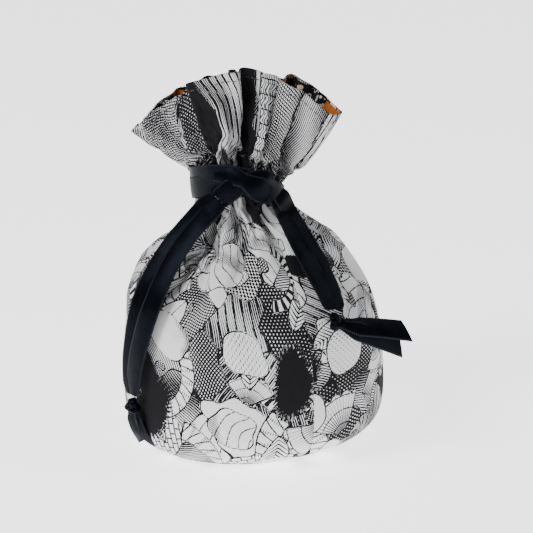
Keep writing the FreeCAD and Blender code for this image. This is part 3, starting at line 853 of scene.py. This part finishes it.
def round_base(name, node, radius, low, high, look):
    """A disc cut from flat cloth, with a soft edge."""
    count = 160
    profile = [(0.02, low), (radius * 0.5, low), (radius - 1.0, low), (radius, low + 0.3),
               (radius, high - 0.3), (radius - 1.0, high), (radius * 0.5, high), (0.02, high)]
    turn = np.arange(count) * 2 * math.pi / count
    fine = np.concatenate([evenly(np.array(profile[:3]), 30), profile[3:5],
                           evenly(np.array(profile[5:]), 30)])
    reach = fine[:, :1] * (1 - foot_pull(turn) / BASE_RADIUS)
    rings = np.stack([reach * np.cos(turn), reach * np.sin(turn), fine[:, 1:] + 0 * turn], 2)
    piece = capped(name, rings)
    ink_cloth(piece, rings[..., 0] + 60, rings[..., 1] + 60, 400.0, 3)
    piece.data.materials.append(look)
    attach(piece, "pouch")
    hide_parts(node)


def stitch_line(points, out, stitch, space, thick):
    """Rings of small rounded stitches that lie along a line."""
    lengths = lengths_along(points)
    turn = np.arange(6) * 2 * math.pi / 6
    shape = [(-0.5, 0.3), (-0.35, 0.85), (0.0, 1.0), (0.35, 0.85), (0.5, 0.3)]
    stitches = []
    for start in np.arange(0.5, lengths[-1] - stitch, stitch + space):
        rings = []
        for share, fat in shape:
            place = start + (0.5 + share) * stitch
            centre = np.array([np.interp(place, lengths, points[:, k]) for k in range(3)])
            lift = np.array([np.interp(place, lengths, out[:, k]) for k in range(3)])
            ahead = np.array([np.interp(place + 0.2, lengths, points[:, k]) for k in range(3)])
            side = unit(np.cross(ahead - centre, lift))
            sunk = centre + lift * (0.12 - 0.35 * (1 - fat))
            rings.append(sunk + thick * fat * (np.cos(turn)[:, None] * side
                                               + np.sin(turn)[:, None] * lift))
        stitches.append(np.array(rings))
    return stitches


def stitches_object(name, stitches, node, body, look):
    """One mesh of many stitches."""
    points = []
    faces = []
    for rings in stitches:
        offset = len(points)
        points.extend(rings.reshape(-1, 3))
        quads = grid_faces(len(rings), rings.shape[1], closed=True)
        faces.extend([[offset + corner for corner in quad] for quad in quads])
    piece = new_object(name, points, faces)
    piece.data.materials.append(look)
    if body == "ruffle":
        follow_ruffle(piece)
    else:
        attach(piece, body)
    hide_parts(node)


def build_stitches(outer, rows, body_rows, look):
    """Top stitching, the casing's two rows, the side seams and the base seam."""
    out = surface_normals(outer[:, :-1])
    out = np.concatenate([out, out[:, :1]], 1)
    under_rim = rows - 1 - int(round(RIM_STITCHES_DOWN / STEP))
    casing = [body_rows + int(round(offset / STEP)) for offset in (CASING_HALF, -CASING_HALF)]
    half = (outer.shape[1] - 1) // 2
    top = rows - int(round(70 / STEP))
    for name, row, node, body in (
            ("rim_topstitch", under_rim, "rim_stitches", "ruffle"),
            ("casing_topstitch_upper", casing[0], "casing_stitches_upper", "pouch"),
            ("casing_topstitch_lower", casing[1], "casing_stitches_lower", "pouch"),
            ("base_topstitch", 1, "base_seam_stitches", "pouch")):
        stitches = stitch_line(outer[row], out[row], 2.5, 0.8, 0.27)
        stitches_object(name, stitches, node, body, look)
    seams = [stitch_line(outer[2:top, column], out[2:top, column], 2.2, 0.9, 0.16)
             for column in (0, half)]
    stitches_object("side_topstitch", seams[0] + seams[1], "side_seam_stitches", "pouch", look)


# ---- ribbons ---------------------------------------------------------------------------------

def picot(along):
    """The little loops of the ribbon's edge stand out once a millimetre."""
    return 0.32 * np.abs(np.sin(math.pi * along))


def ribbon_rings(line, out, width, thick=0.35, cup=0.0, curl=None):
    """Closed rings of a flat ribbon along a line, with the ribbon's coordinates."""
    forward = unit(np.gradient(line, axis=0))
    side = unit(np.cross(forward, out))
    out = unit(np.cross(side, forward))
    along = lengths_along(line)
    width = np.broadcast_to(width, along.shape)
    share = np.linspace(-1, 1, 13)
    across = share[None] * (width / 2)[:, None]
    across = across + np.sign(share)[None] * (np.abs(share) == 1) * picot(along)[:, None]
    lift = cup * (1 - share[None] ** 2) + 0 * across
    if curl is not None:
        lift = lift + curl
    upper = np.stack([across, lift + thick / 2], 2)
    lower = np.stack([across, lift - thick / 2], 2)[:, ::-1]
    rings = swept(line, side, out, np.concatenate([upper, lower], 1))
    place = np.concatenate([across, across[:, ::-1]], 1)
    return rings, (np.broadcast_to(along[:, None], place.shape), place)


def half_widths(width, across):
    """Half the ribbon's width, at each point of its rings."""
    return np.broadcast_to(np.asarray(width) / 2, across.shape[:1])[:, None] + 0 * across


def join_frame(piece, body, node, look):
    """Gives a piece of ribbon its look and its body, and hides the CAD node that it stands for."""
    piece.data.materials.append(look)
    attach(piece, body)
    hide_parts(node)


def route_line(name, route):
    """Points of the smooth curve that a route's control points make, in millimetres."""
    curve = bpy.data.curves.new(name, "CURVE")
    curve.dimensions = "3D"
    curve.resolution_u = 24
    spline = curve.splines.new("NURBS")
    spline.points.add(len(route) - 1)
    for point, place in zip(spline.points, route):
        point.co = (*place, 1)
    spline.order_u = 3
    spline.use_endpoint_u = True
    holder = bpy.data.objects.new(name, curve)
    mesh = bpy.data.meshes.new_from_object(holder)
    points = np.array([vertex.co[:] for vertex in mesh.vertices]) / MM
    bpy.data.objects.remove(holder)
    bpy.data.meshes.remove(mesh)
    return points


def outward_at(line):
    """Away from the cloth at each point of a line that lies on the pouch."""
    height = line[:, 2]
    below = 42 * ease(height, 60, 100) - 30 * ease(height, 108, 130)
    centre = np.stack([NECK[0] * ease(height, 60, 120), 0 * height, height - below], 1)
    return unit(line - centre)


def clear_of(tree, line, out, side, clearance):
    """The line moved out smoothly until the whole width of the ribbon clears the cloth."""
    lift = np.zeros(len(line))
    for reach in (-0.5, -0.25, 0.0, 0.25, 0.5):
        for number, point in enumerate(line + side * reach * RIBBON):
            hit, normal, _, _ = tree.find_nearest(Vector(point))
            normal = np.array(normal)
            above = (point - np.array(hit)) @ normal * np.sign(normal @ out[number])
            lift[number] = max(lift[number], clearance - above)
    window = len(line) // 16
    highest = [lift[max(number - window, 0):number + window + 1].max() for number in range(len(line))]
    return line + out * smoothed(np.array(highest), len(line))[:, None]


def strand(name, route, tree, lateral, clearance, twist):
    """One hanging ribbon end: it follows its route and rests on the cloth."""
    line = route_line(name + "_route", route)
    count = int(lengths_along(line)[-1] / (0.25))
    line = evenly(line, count)
    share = np.linspace(0, 1, count)
    out = outward_at(line)
    side = unit(np.cross(unit(np.gradient(line, axis=0)), out))
    line = line + side * np.interp(share, *lateral)[:, None]
    turn = np.radians(smoothed(np.interp(share, *twist), 40))[:, None]
    face = out * np.cos(turn) + side * np.sin(turn)
    across = side * np.cos(turn) - out * np.sin(turn)
    # The smoothing draws both ends in, by 1.5 to 2 mm, so a strand stops short of its knot.
    line = smoothed(clear_of(tree, line, out, across, clearance), len(line) // 2)
    line = line - out * 1.1 * (1 - ease(share, 0.0, 0.10))[:, None]
    width = RIBBON - 4.5 * ease(share, 0.93, 1.0) - 2.0 * (1 - ease(share, 0.0, 0.08))
    ripple = 0.12 * np.sin(share * 23 + 1.0)
    curl = ripple[:, None] * np.linspace(-1, 1, 13)[None] ** 2
    rings, (along, place) = ribbon_rings(line, face, width, cup=0.45, curl=curl)
    piece = capped(name, rings)
    store(piece, "ribbon", along, place, half_widths(width, place))
    return piece, line


def build_strands(tree, look):
    """Two overlapping strands on each side."""
    plans = {
        "left_inner": (LEFT_ROUTE, ([0, 0.25, 0.55, 1], [-1.5, -3.0, -4.4, -1.2]), 0.4,
                       ([0, 0.3, 0.6, 1], [0, -14, -22, -6])),
        "left_outer": (LEFT_ROUTE, ([0, 0.25, 0.55, 1], [1.6, 3.2, 4.4, 1.2]), 1.2,
                       ([0, 0.3, 0.6, 1], [0, -20, -30, -14])),
        "right_inner": (RIGHT_ROUTE, ([0, 0.3, 0.6, 1], [1.0, 2.4, 3.0, 1.0]), 0.4,
                        ([0, 0.5, 1], [0, 8, 0])),
        "right_outer": (RIGHT_ROUTE, ([0, 0.3, 0.6, 1], [-1.2, -2.6, -2.8, -1.0]), 1.2,
                        ([0, 0.3, 0.7, 1], [0, 10, 14, 6])),
    }
    for name, (route, lateral, clearance, twist) in plans.items():
        side, layer = name.split("_")
        piece, line = strand("%s_strand_ribbon_%s" % (side, layer), route, tree, lateral,
                             clearance, twist)
        join_frame(piece, side + "_strands", "%s_strand_%s" % (side, layer), look)


def overhand_knot(name, centre, out, down, size, node, body, look):
    """Ribbon crumpled into an overhand knot."""
    turn = np.linspace(0, 2 * math.pi, 160, endpoint=False)
    x = np.sin(turn) + 2 * np.sin(2 * turn)
    y = np.cos(turn) - 2 * np.cos(2 * turn)
    z = -np.sin(3 * turn)
    side = np.cross(out, down)
    line = centre + (x[:, None] * side * size[0] + y[:, None] * down * size[1]
                     + z[:, None] * out * size[2]) / 3
    ahead = unit(np.roll(line, -1, 0) - np.roll(line, 1, 0))
    away = unit(line - centre)
    away = unit(away - ahead * (away * ahead).sum(1, keepdims=True))
    across = np.cross(ahead, away)
    angle = np.arange(20) * 2 * math.pi / 20
    crease = 1 + 0.13 * np.cos(3 * angle[None] + 2 * turn[:, None])
    section = np.stack([2.0 * np.cos(angle)[None] * crease, 1.05 * np.sin(angle)[None] * crease], 2)
    rings = swept(line, across, away, section)
    piece = capped(name, rings, closed_line=True)
    along = np.concatenate([turn, turn[:1] + 2 * math.pi]) * 4
    store(piece, "ribbon", along[:, None] + 0 * angle, 0 * along[:, None] + 4.4 * np.cos(angle),
          5.0 + 0 * (along[:, None] + angle))
    join_frame(piece, body, node, look)


def tail(name, node, body, points, out, width, slant, look):
    """A short ribbon end with a slanted cut."""
    line = smooth_open(points, 90)
    share = np.linspace(0, 1, len(line))
    width = np.interp(share, *width)
    out = unit(np.array(out, float)) + 0 * line
    rings, (along, across) = ribbon_rings(line, out, width, cup=0.5)
    forward = unit(np.gradient(line, axis=0))
    cut = (across / RIBBON * slant) * ease(share, 0.55, 1.0)[:, None]
    rings = rings + forward[:, None] * cut[..., None]
    piece = capped(name, rings)
    store(piece, "ribbon", along, across, half_widths(width, across))
    join_frame(piece, body, node, look)


def build_ends(look):
    """Both knots and their tails."""
    left_out = unit(np.array([-0.80, -0.60, 0.0]))
    right_out = unit(np.array([0.55, -0.83, 0.0]))
    down = np.array([0.0, 0.0, -1.0])
    overhand_knot("left_knot_ribbon", LEFT_KNOT, left_out, down, (4.3, 3.3, 2.4), "left_knot",
                  "left_ends", look)
    overhand_knot("right_knot_ribbon", RIGHT_KNOT, right_out, unit(down + 0.5 * np.array([1, 0.4, 0])),
                  (3.2, 4.1, 2.4), "right_knot", "right_ends", look)
    width = ([0, 0.35, 1], [4.0, 9.4, 10.0])
    for part, steps, turn in (
            ("front", [(0, 0, 0), (0.6, -0.6, -6), (2.6, -0.4, -12.5), (5.4, 1.2, -18.5)], 0.25),
            ("back", [(0, 0, 0), (-0.2, 1.2, -6), (0.8, 3.0, -12.0), (2.4, 5.4, -17.0)], -0.25)):
        points = [LEFT_KNOT + np.array(step) for step in steps]
        tail("left_tail_ribbon_" + part, "left_tail_" + part, "left_ends", points,
             left_out + np.array([turn, 0, 0.1]), width, 5.0, look)
    width = ([0, 0.12, 0.30, 1], [4.2, 5.5, 9.2, 10.0])
    for part, steps, lean in (
            ("upper", [(0, 0, 0), (9.0, 1.6, -2.8), (21.0, 8.0, -6.2), (35.0, 16.6, -11.0)], 0.55),
            ("lower", [(0, -0.3, 0), (8.6, 0.8, -4.4), (19.5, 6.0, -10.4), (31.8, 13.6, -17.8)],
             0.25)):
        points = [RIGHT_KNOT + np.array(step) for step in steps]
        tail("right_tail_ribbon_" + part, "right_tail_" + part, "right_ends", points,
             np.array([0.35, -0.75, lean]), width, 6.0, look)


def neck_turn(radius, rise, tilt, seed):
    """One turn of ribbon round the neck, with its creases."""
    turn = np.linspace(0, 2 * math.pi, 420)
    waves = np.random.default_rng(seed)
    bumps = sum(waves.uniform(0.05, 0.22) * np.sin(k * turn + waves.uniform(0, 6.28))
                for k in range(2, 9))
    radius = radius + bumps
    line = np.stack([NECK[0] + radius * np.cos(turn), radius * np.sin(turn),
                     tie_height(turn) + rise - tilt * np.cos(turn)], 1)
    out = np.stack([np.cos(turn), np.sin(turn), 0.12 * np.sin(turn + 1)], 1)
    return line, out


def build_band(look):
    """Two turns of ribbon round the neck, as one piece; on the right they lie over each other."""
    parts = []
    for radius, rise, tilt, seed in ((NECK_RADIUS + 1.9, -3.0, 0.5, 3), (NECK_RADIUS + 2.6, 1.0, 2.4, 4)):
        line, out = neck_turn(radius, rise, tilt, seed)
        parts.append((line, -out, RIBBON, 0.25))
    joined_ribbons("neck_ribbon", parts, "neck_band", look)


def joined_ribbons(name, parts, node, look):
    """Several lengths of ribbon as one mesh."""
    points, faces, places = [], [], []
    for line, out, width, cup in parts:
        rings, (along, across) = ribbon_rings(line, out, width, cup=-cup)
        offset = sum(len(block) for block in points)
        rows, columns = rings.shape[:2]
        points.append(rings.reshape(-1, 3))
        quads = grid_faces(rows, columns, closed=True)
        quads.append(list(range(columns))[::-1])
        quads.append(list(range((rows - 1) * columns, rows * columns)))
        faces.extend([[offset + corner for corner in face] for face in quads])
        places.append(np.stack([along.ravel(), across.ravel(),
                                half_widths(width, across).ravel()], 1))
    piece = new_object(name, np.concatenate(points), faces)
    place = np.concatenate(places)
    store(piece, "ribbon", place[:, 0], place[:, 1], place[:, 2])
    join_frame(piece, "pouch", node, look)


def build_half_knot(look):
    """The ribbon ends cross on the front of the neck and pass down to the strands."""
    parts = []
    for points, width in (
            ([(-19.0, -20.5, 143.2), (-12.5, -24.2, 143.6), (-5.5, -26.6, 141.6), (1.0, -27.4, 138.0),
              (7.2, -23.2, 132.4)], [8.0, 10.0, 7.0, 12.0, 10.0]),
            ([(9.0, -17.4, 138.0), (4.5, -22.4, 140.4), (-2.5, -24.8, 140.6), (-9.0, -26.4, 138.0),
              (-17.0, -25.8, 131.4)], [8.0, 10.0, 7.6, 11.0, 10.0])):
        line = smooth_open(points, 120)
        out = unit(line - np.array([NECK[0], 0, 134.0]))
        parts.append((line, out, np.interp(np.linspace(0, 1, 120), np.linspace(0, 1, 5), width),
                      -0.9))
    joined_ribbons("half_knot_ribbon", parts, "ribbon_half_knot", look)


# ---- materials -------------------------------------------------------------------------------

class Look:
    """A small helper for building one material's nodes."""

    def __init__(self, name, roughness, **constants):
        self.material = bpy.data.materials.new(name)
        self.material.use_nodes = True
        self.nodes = self.material.node_tree.nodes
        self.links = self.material.node_tree.links
        self.shader = self.nodes["Principled BSDF"]
        self.shader.inputs["Roughness"].default_value = roughness
        for socket, value in constants.items():
            self.shader.inputs[socket.replace("_", " ")].default_value = value

    def put(self, socket, value):
        """Links an output to a socket, or sets a constant."""
        if isinstance(value, bpy.types.NodeSocket):
            self.links.new(value, socket)
        else:
            socket.default_value = value

    def math(self, operation, *values):
        """One arithmetic step."""
        node = self.nodes.new("ShaderNodeMath")
        node.operation = operation
        for socket, value in zip(node.inputs, values):
            self.put(socket, value)
        return node.outputs[0]

    def mix(self, share, first, second):
        """A colour between two colours."""
        node = self.nodes.new("ShaderNodeMix")
        node.data_type = "RGBA"
        self.put(node.inputs[0], share)
        for socket, value in ((node.inputs[6], first), (node.inputs[7], second)):
            self.put(socket, value if isinstance(value, bpy.types.NodeSocket) else (*value, 1))
        return node.outputs[2]

    def attribute(self, name):
        """The three numbers of a vector attribute."""
        node = self.nodes.new("ShaderNodeAttribute")
        node.attribute_name = name
        parts = self.nodes.new("ShaderNodeSeparateXYZ")
        self.links.new(node.outputs["Vector"], parts.inputs[0])
        return node.outputs["Vector"], parts.outputs[0], parts.outputs[1], parts.outputs[2]

    def object_place(self):
        """The point's place in its object's own coordinates."""
        return self.nodes.new("ShaderNodeTexCoord").outputs["Object"]

    def noise(self, place, scale, detail=3.0):
        """Soft cloudy noise, from 0 to 1."""
        node = self.nodes.new("ShaderNodeTexNoise")
        node.inputs["Scale"].default_value = scale
        node.inputs["Detail"].default_value = detail
        self.links.new(place, node.inputs["Vector"])
        return node.outputs["Fac"]

    def cells(self, place, scale):
        """A node that gives the distance to the nearest of many scattered points."""
        node = self.nodes.new("ShaderNodeTexVoronoi")
        node.inputs["Scale"].default_value = scale
        self.links.new(place, node.inputs["Vector"])
        return node

    def step(self, value, low, high):
        """Smooth step from 0 at low to 1 at high."""
        node = self.nodes.new("ShaderNodeMapRange")
        node.interpolation_type = "SMOOTHSTEP"
        self.put(node.inputs["Value"], value)
        node.inputs["From Min"].default_value = low
        node.inputs["From Max"].default_value = high
        return node.outputs[0]

    def waves(self, value, length):
        """A wave of that length along value, from 0 to 1."""
        turned = self.math("MULTIPLY", value, 2 * math.pi / length)
        return self.math("MULTIPLY_ADD", self.math("SINE", turned), 0.5, 0.5)

    def bump(self, height, distance):
        """Relief on the surface, its distance in millimetres."""
        node = self.nodes.new("ShaderNodeBump")
        node.inputs["Strength"].default_value = 1.0
        node.inputs["Distance"].default_value = distance * MM
        self.links.new(height, node.inputs["Height"])
        self.links.new(node.outputs[0], self.shader.inputs["Normal"])


def weave(look, across, along, place):
    """Plain weave with uneven threads, and the cloth's fine creases."""
    threads = look.math("MULTIPLY", look.waves(across, 0.62), look.waves(along, 0.62))
    slubs = look.noise(place, 0.9, 4.0)
    creases = look.noise(place, 0.16, 5.0)
    fine = look.math("MULTIPLY_ADD", threads, 0.10, look.math("MULTIPLY", slubs, 0.16))
    return look.math("MULTIPLY_ADD", creases, 0.9, fine)


def print_material():
    """White cotton with ink wherever the stored lines and outlines run."""
    look = Look("printed_cotton", 0.9, Sheen_Weight=0.02, Specular_IOR_Level=0.12)
    place, across, along, edge = look.attribute("cloth")
    _, phase_a, phase_b, brick = look.attribute("print_lines")
    _, thick_a, thick_b, dots = look.attribute("print_ink")

    def saw(phase):
        """0 in the middle of a line, 1 half way to the next."""
        off = look.math("SUBTRACT", look.math("FRACT", phase), 0.5)
        return look.math("SUBTRACT", 1.0, look.math("MULTIPLY", look.math("ABSOLUTE", off), 2.0))

    row = look.math("MULTIPLY", look.math("FLOOR", phase_a), 0.5)
    first = saw(phase_a)
    second = saw(look.math("MULTIPLY_ADD", row, brick, phase_b))
    lines = look.math("MINIMUM", look.math("SUBTRACT", first, thick_a),
                      look.math("SUBTRACT", second, thick_b))
    far = look.math("SQRT", look.math("ADD", look.math("MULTIPLY", first, first),
                                      look.math("MULTIPLY", second, second)))
    spots = look.math("SUBTRACT", far, thick_a)
    gaps = look.math("MULTIPLY", spots, -1.0)
    is_spots = look.math("GREATER_THAN", dots, 0.5)
    is_gaps = look.math("GREATER_THAN", dots, 1.5)
    chosen = look.math("MULTIPLY_ADD", look.math("SUBTRACT", spots, lines), is_spots, lines)
    chosen = look.math("MULTIPLY_ADD", look.math("SUBTRACT", gaps, chosen), is_gaps, chosen)
    wobble = look.math("SUBTRACT", look.noise(place, 0.8, 2.0), 0.5)
    chosen = look.math("MULTIPLY_ADD", wobble, 0.30, chosen)
    pen = look.math("MULTIPLY_ADD", wobble, 0.35, look.math("SUBTRACT", edge, 0.38))
    ink = look.math("SUBTRACT", 1.0, look.math("MULTIPLY", look.step(chosen, -0.05, 0.05),
                                               look.step(pen, -0.05, 0.05)))
    patchy = look.noise(place, 0.05, 3.0)
    paper = look.mix(patchy, (0.72, 0.72, 0.74), (0.82, 0.82, 0.83))
    black = look.mix(look.noise(place, 1.6, 2.0), (0.003, 0.003, 0.004), (0.010, 0.010, 0.012))
    look.put(look.shader.inputs["Base Color"], look.mix(ink, paper, black))
    look.bump(weave(look, across, along, place), 0.30)
    return look.material


def lining_material():
    """Black with orange leaves, cream patches and small pale rings."""
    look = Look("lining_cotton", 0.9, Sheen_Weight=0.02, Specular_IOR_Level=0.12)
    place, across, along, _ = look.attribute("cloth")
    bend = look.nodes.new("ShaderNodeVectorMath")
    bend.operation = "MULTIPLY_ADD"
    warp = look.nodes.new("ShaderNodeTexNoise")
    warp.inputs["Scale"].default_value = 0.11
    look.links.new(place, warp.inputs["Vector"])
    look.links.new(warp.outputs["Color"], bend.inputs[0])
    bend.inputs[1].default_value = (9.0, 9.0, 0.0)
    look.links.new(place, bend.inputs[2])
    bent = bend.outputs[0]
    rings = look.cells(place, 0.36)
    ring = look.math("ABSOLUTE", look.math("SUBTRACT", rings.outputs["Distance"], 0.30))
    ring = look.math("SUBTRACT", 1.0, look.step(ring, 0.05, 0.12))
    some = look.step(look.noise(place, 0.045, 1.0), 0.42, 0.50)
    colour = look.mix(look.math("MULTIPLY", ring, some), (0.012, 0.010, 0.010), (0.55, 0.53, 0.48))
    cream = look.cells(bent, 0.16)
    blob = look.math("SUBTRACT", 1.0, look.step(cream.outputs["Distance"], 0.26, 0.30))
    colour = look.mix(blob, colour, (0.66, 0.52, 0.28))
    leaf_cells = look.cells(bent, 0.062)
    shade = look.mix(look.noise(bent, 0.3, 3.0), (0.42, 0.10, 0.016), (0.66, 0.20, 0.035))
    petal = look.math("SUBTRACT", 1.0, look.step(leaf_cells.outputs["Distance"], 0.45, 0.48))
    vein = look.math("ABSOLUTE", look.math("SUBTRACT", look.waves(across, 9.0), 0.5))
    shade = look.mix(look.step(vein, 0.0, 0.06), (0.10, 0.03, 0.01), shade)
    pattern = look.mix(petal, colour, shade)
    # Painted shade: plain dark cloth deeper inside the ruffle, where the lining may show through a fold,
    # standing for the shadow inside the pouch.
    painted_inner_shade = (0.016, 0.014, 0.013)
    pattern = look.mix(look.step(along, *PATTERN_ENDS), painted_inner_shade, pattern)
    look.put(look.shader.inputs["Base Color"], pattern)
    look.bump(weave(look, across, along, place), 0.30)
    return look.material


def satin_material():
    """Black satin: close ribs across the ribbon, long soft creases and a picot edge whose loops carry
    painted glints.
    """
    look = Look("satin_ribbon", 0.34, Anisotropic=0.5, Sheen_Weight=0.01, Sheen_Roughness=0.35,
                Specular_IOR_Level=0.05)
    look.shader.inputs["Specular Tint"].default_value = (0.55, 0.72, 1.0, 1)
    look.shader.inputs["Sheen Tint"].default_value = (0.55, 0.65, 0.9, 1)
    place, along, across, half = look.attribute("ribbon")
    inset = look.math("SUBTRACT", half, look.math("ABSOLUTE", across))
    edge = look.math("SUBTRACT", 1.0, look.step(inset, 0.25, 0.75))
    # The picot loops: they raise the bump, and the colour below gives them a painted highlight.
    beads = look.math("MULTIPLY", edge, look.step(look.waves(along, 1.0), 0.35, 0.8))
    cloud = look.noise(place, 0.22, 4.0)
    base = look.mix(cloud, (0.0008, 0.0008, 0.0012), (0.0026, 0.0030, 0.0052))
    # Painted highlight: the picot loops are coloured lighter, standing for the glints of light that they
    # catch.
    look.put(look.shader.inputs["Base Color"], look.mix(beads, base, (0.026, 0.028, 0.036)))
    look.put(look.shader.inputs["Roughness"],
             look.math("MULTIPLY_ADD", look.noise(place, 0.5, 3.0), 0.16, 0.28))
    ribs = look.math("MULTIPLY", look.waves(along, 0.42), 0.05)
    creases = look.noise(place, 0.13, 4.0)
    beaded = look.math("MULTIPLY", beads, 0.25)
    look.bump(look.math("ADD", look.math("MULTIPLY_ADD", creases, 1.3, ribs), beaded), 0.30)
    return look.material


def thread_material():
    """Black sewing thread with a fine twist."""
    look = Look("sewing_thread", 0.6, Sheen_Weight=0.2)
    twist = look.noise(look.object_place(), 2600.0, 2.0)
    look.put(look.shader.inputs["Base Color"], look.mix(twist, (0.008, 0.008, 0.010),
                                                        (0.050, 0.050, 0.056)))
    look.bump(twist, 0.05)
    return look.material


def casing_satin():
    """The ribbon inside the casing, drawn from its place, for the pieces kept from the frame."""
    look = Look("satin_in_casing", 0.36, Anisotropic=0.5, Sheen_Weight=0.3)
    cloud = look.noise(look.object_place(), 220.0, 4.0)
    look.put(look.shader.inputs["Base Color"], look.mix(cloud, (0.006, 0.0065, 0.009),
                                                        (0.022, 0.024, 0.032)))
    look.bump(cloud, 0.3)
    return look.material


# ---- stage -----------------------------------------------------------------------------------

def floor_material():
    """A pale floor that gives off a little light."""
    look = Look("floor", 0.9, Emission_Strength=2.3)
    look.shader.inputs["Emission Color"].default_value = (1, 1, 1, 1)
    grain = look.noise(look.object_place(), 3.0, 2.0)
    look.put(look.shader.inputs["Base Color"], look.mix(grain, (0.88, 0.88, 0.88),
                                                        (0.91, 0.91, 0.91)))
    return look.material


def lamp(name, place, size, power):
    """A square lamp aimed at the middle of the pouch."""
    light = bpy.data.lights.new(name, "AREA")
    light.size = size
    light.energy = power
    holder = bpy.data.objects.new(name, light)
    bpy.context.scene.collection.objects.link(holder)
    holder.location = place
    aim = Vector((0, 0, 0.1)) - Vector(place)
    holder.rotation_euler = aim.to_track_quat("-Z", "Y").to_euler()


def stage_and_camera():
    """A pale floor, soft lamps, and a view from the front, 20 degrees above the level."""
    corners = [(-1500, -1500, 0), (1500, -1500, 0), (1500, 2500, 0), (-1500, 2500, 0)]
    floor = new_object("floor", corners, [[0, 1, 2, 3]])
    floor.data.materials.append(floor_material())
    world = bpy.data.worlds.new("studio")
    world.use_nodes = True
    world.node_tree.nodes["Background"].inputs[0].default_value = (1, 1, 1, 1)
    world.node_tree.nodes["Background"].inputs[1].default_value = 0.05
    bpy.context.scene.world = world
    lamp("key", (-0.60, -0.45, 0.85), 0.35, 10.0)
    lamp("fill", (0.8, -0.9, 0.35), 0.5, 0.8)
    lamp("side", (0.80, 0.0, 0.85), 0.35, 3.0)
    target = Vector((0.00625, 0, 0.0867))
    elevation = math.radians(20)
    distance = 2.6
    camera = bpy.data.cameras.new("camera")
    camera.lens = 36 * distance / 0.2665
    holder = bpy.data.objects.new("camera", camera)
    bpy.context.scene.collection.objects.link(holder)
    holder.location = target + distance * Vector((0, -math.cos(elevation), math.sin(elevation)))
    holder.rotation_euler = (target - holder.location).to_track_quat("-Z", "Y").to_euler()
    bpy.context.scene.camera = holder


# ---- build -----------------------------------------------------------------------------------

def main():
    stage_and_camera()
    printed, lining = print_material(), lining_material()
    satin, thread = satin_material(), thread_material()
    surface, body_rows = cloth_rings()
    outer = build_cloth(surface, body_rows, printed, lining)
    round_base("outer_base_cloth", "outer_base", BASE_RADIUS - 0.3, 0.0, 1.0,
               printed)
    round_base("lining_base_cloth", "lining_base", BASE_RADIUS - 2.4, 1.3, 2.1,
               lining)
    build_stitches(outer, len(surface), body_rows, thread)
    build_band(satin)
    build_half_knot(satin)
    build_ends(satin)
    build_strands(cloth_tree(surface), satin)
    in_casing = casing_satin()
    for node in ("left_ribbon_loop", "right_ribbon_loop"):
        loop = bpy.data.objects[node]
        loop.data.materials.clear()
        loop.data.materials.append(in_casing)


main()
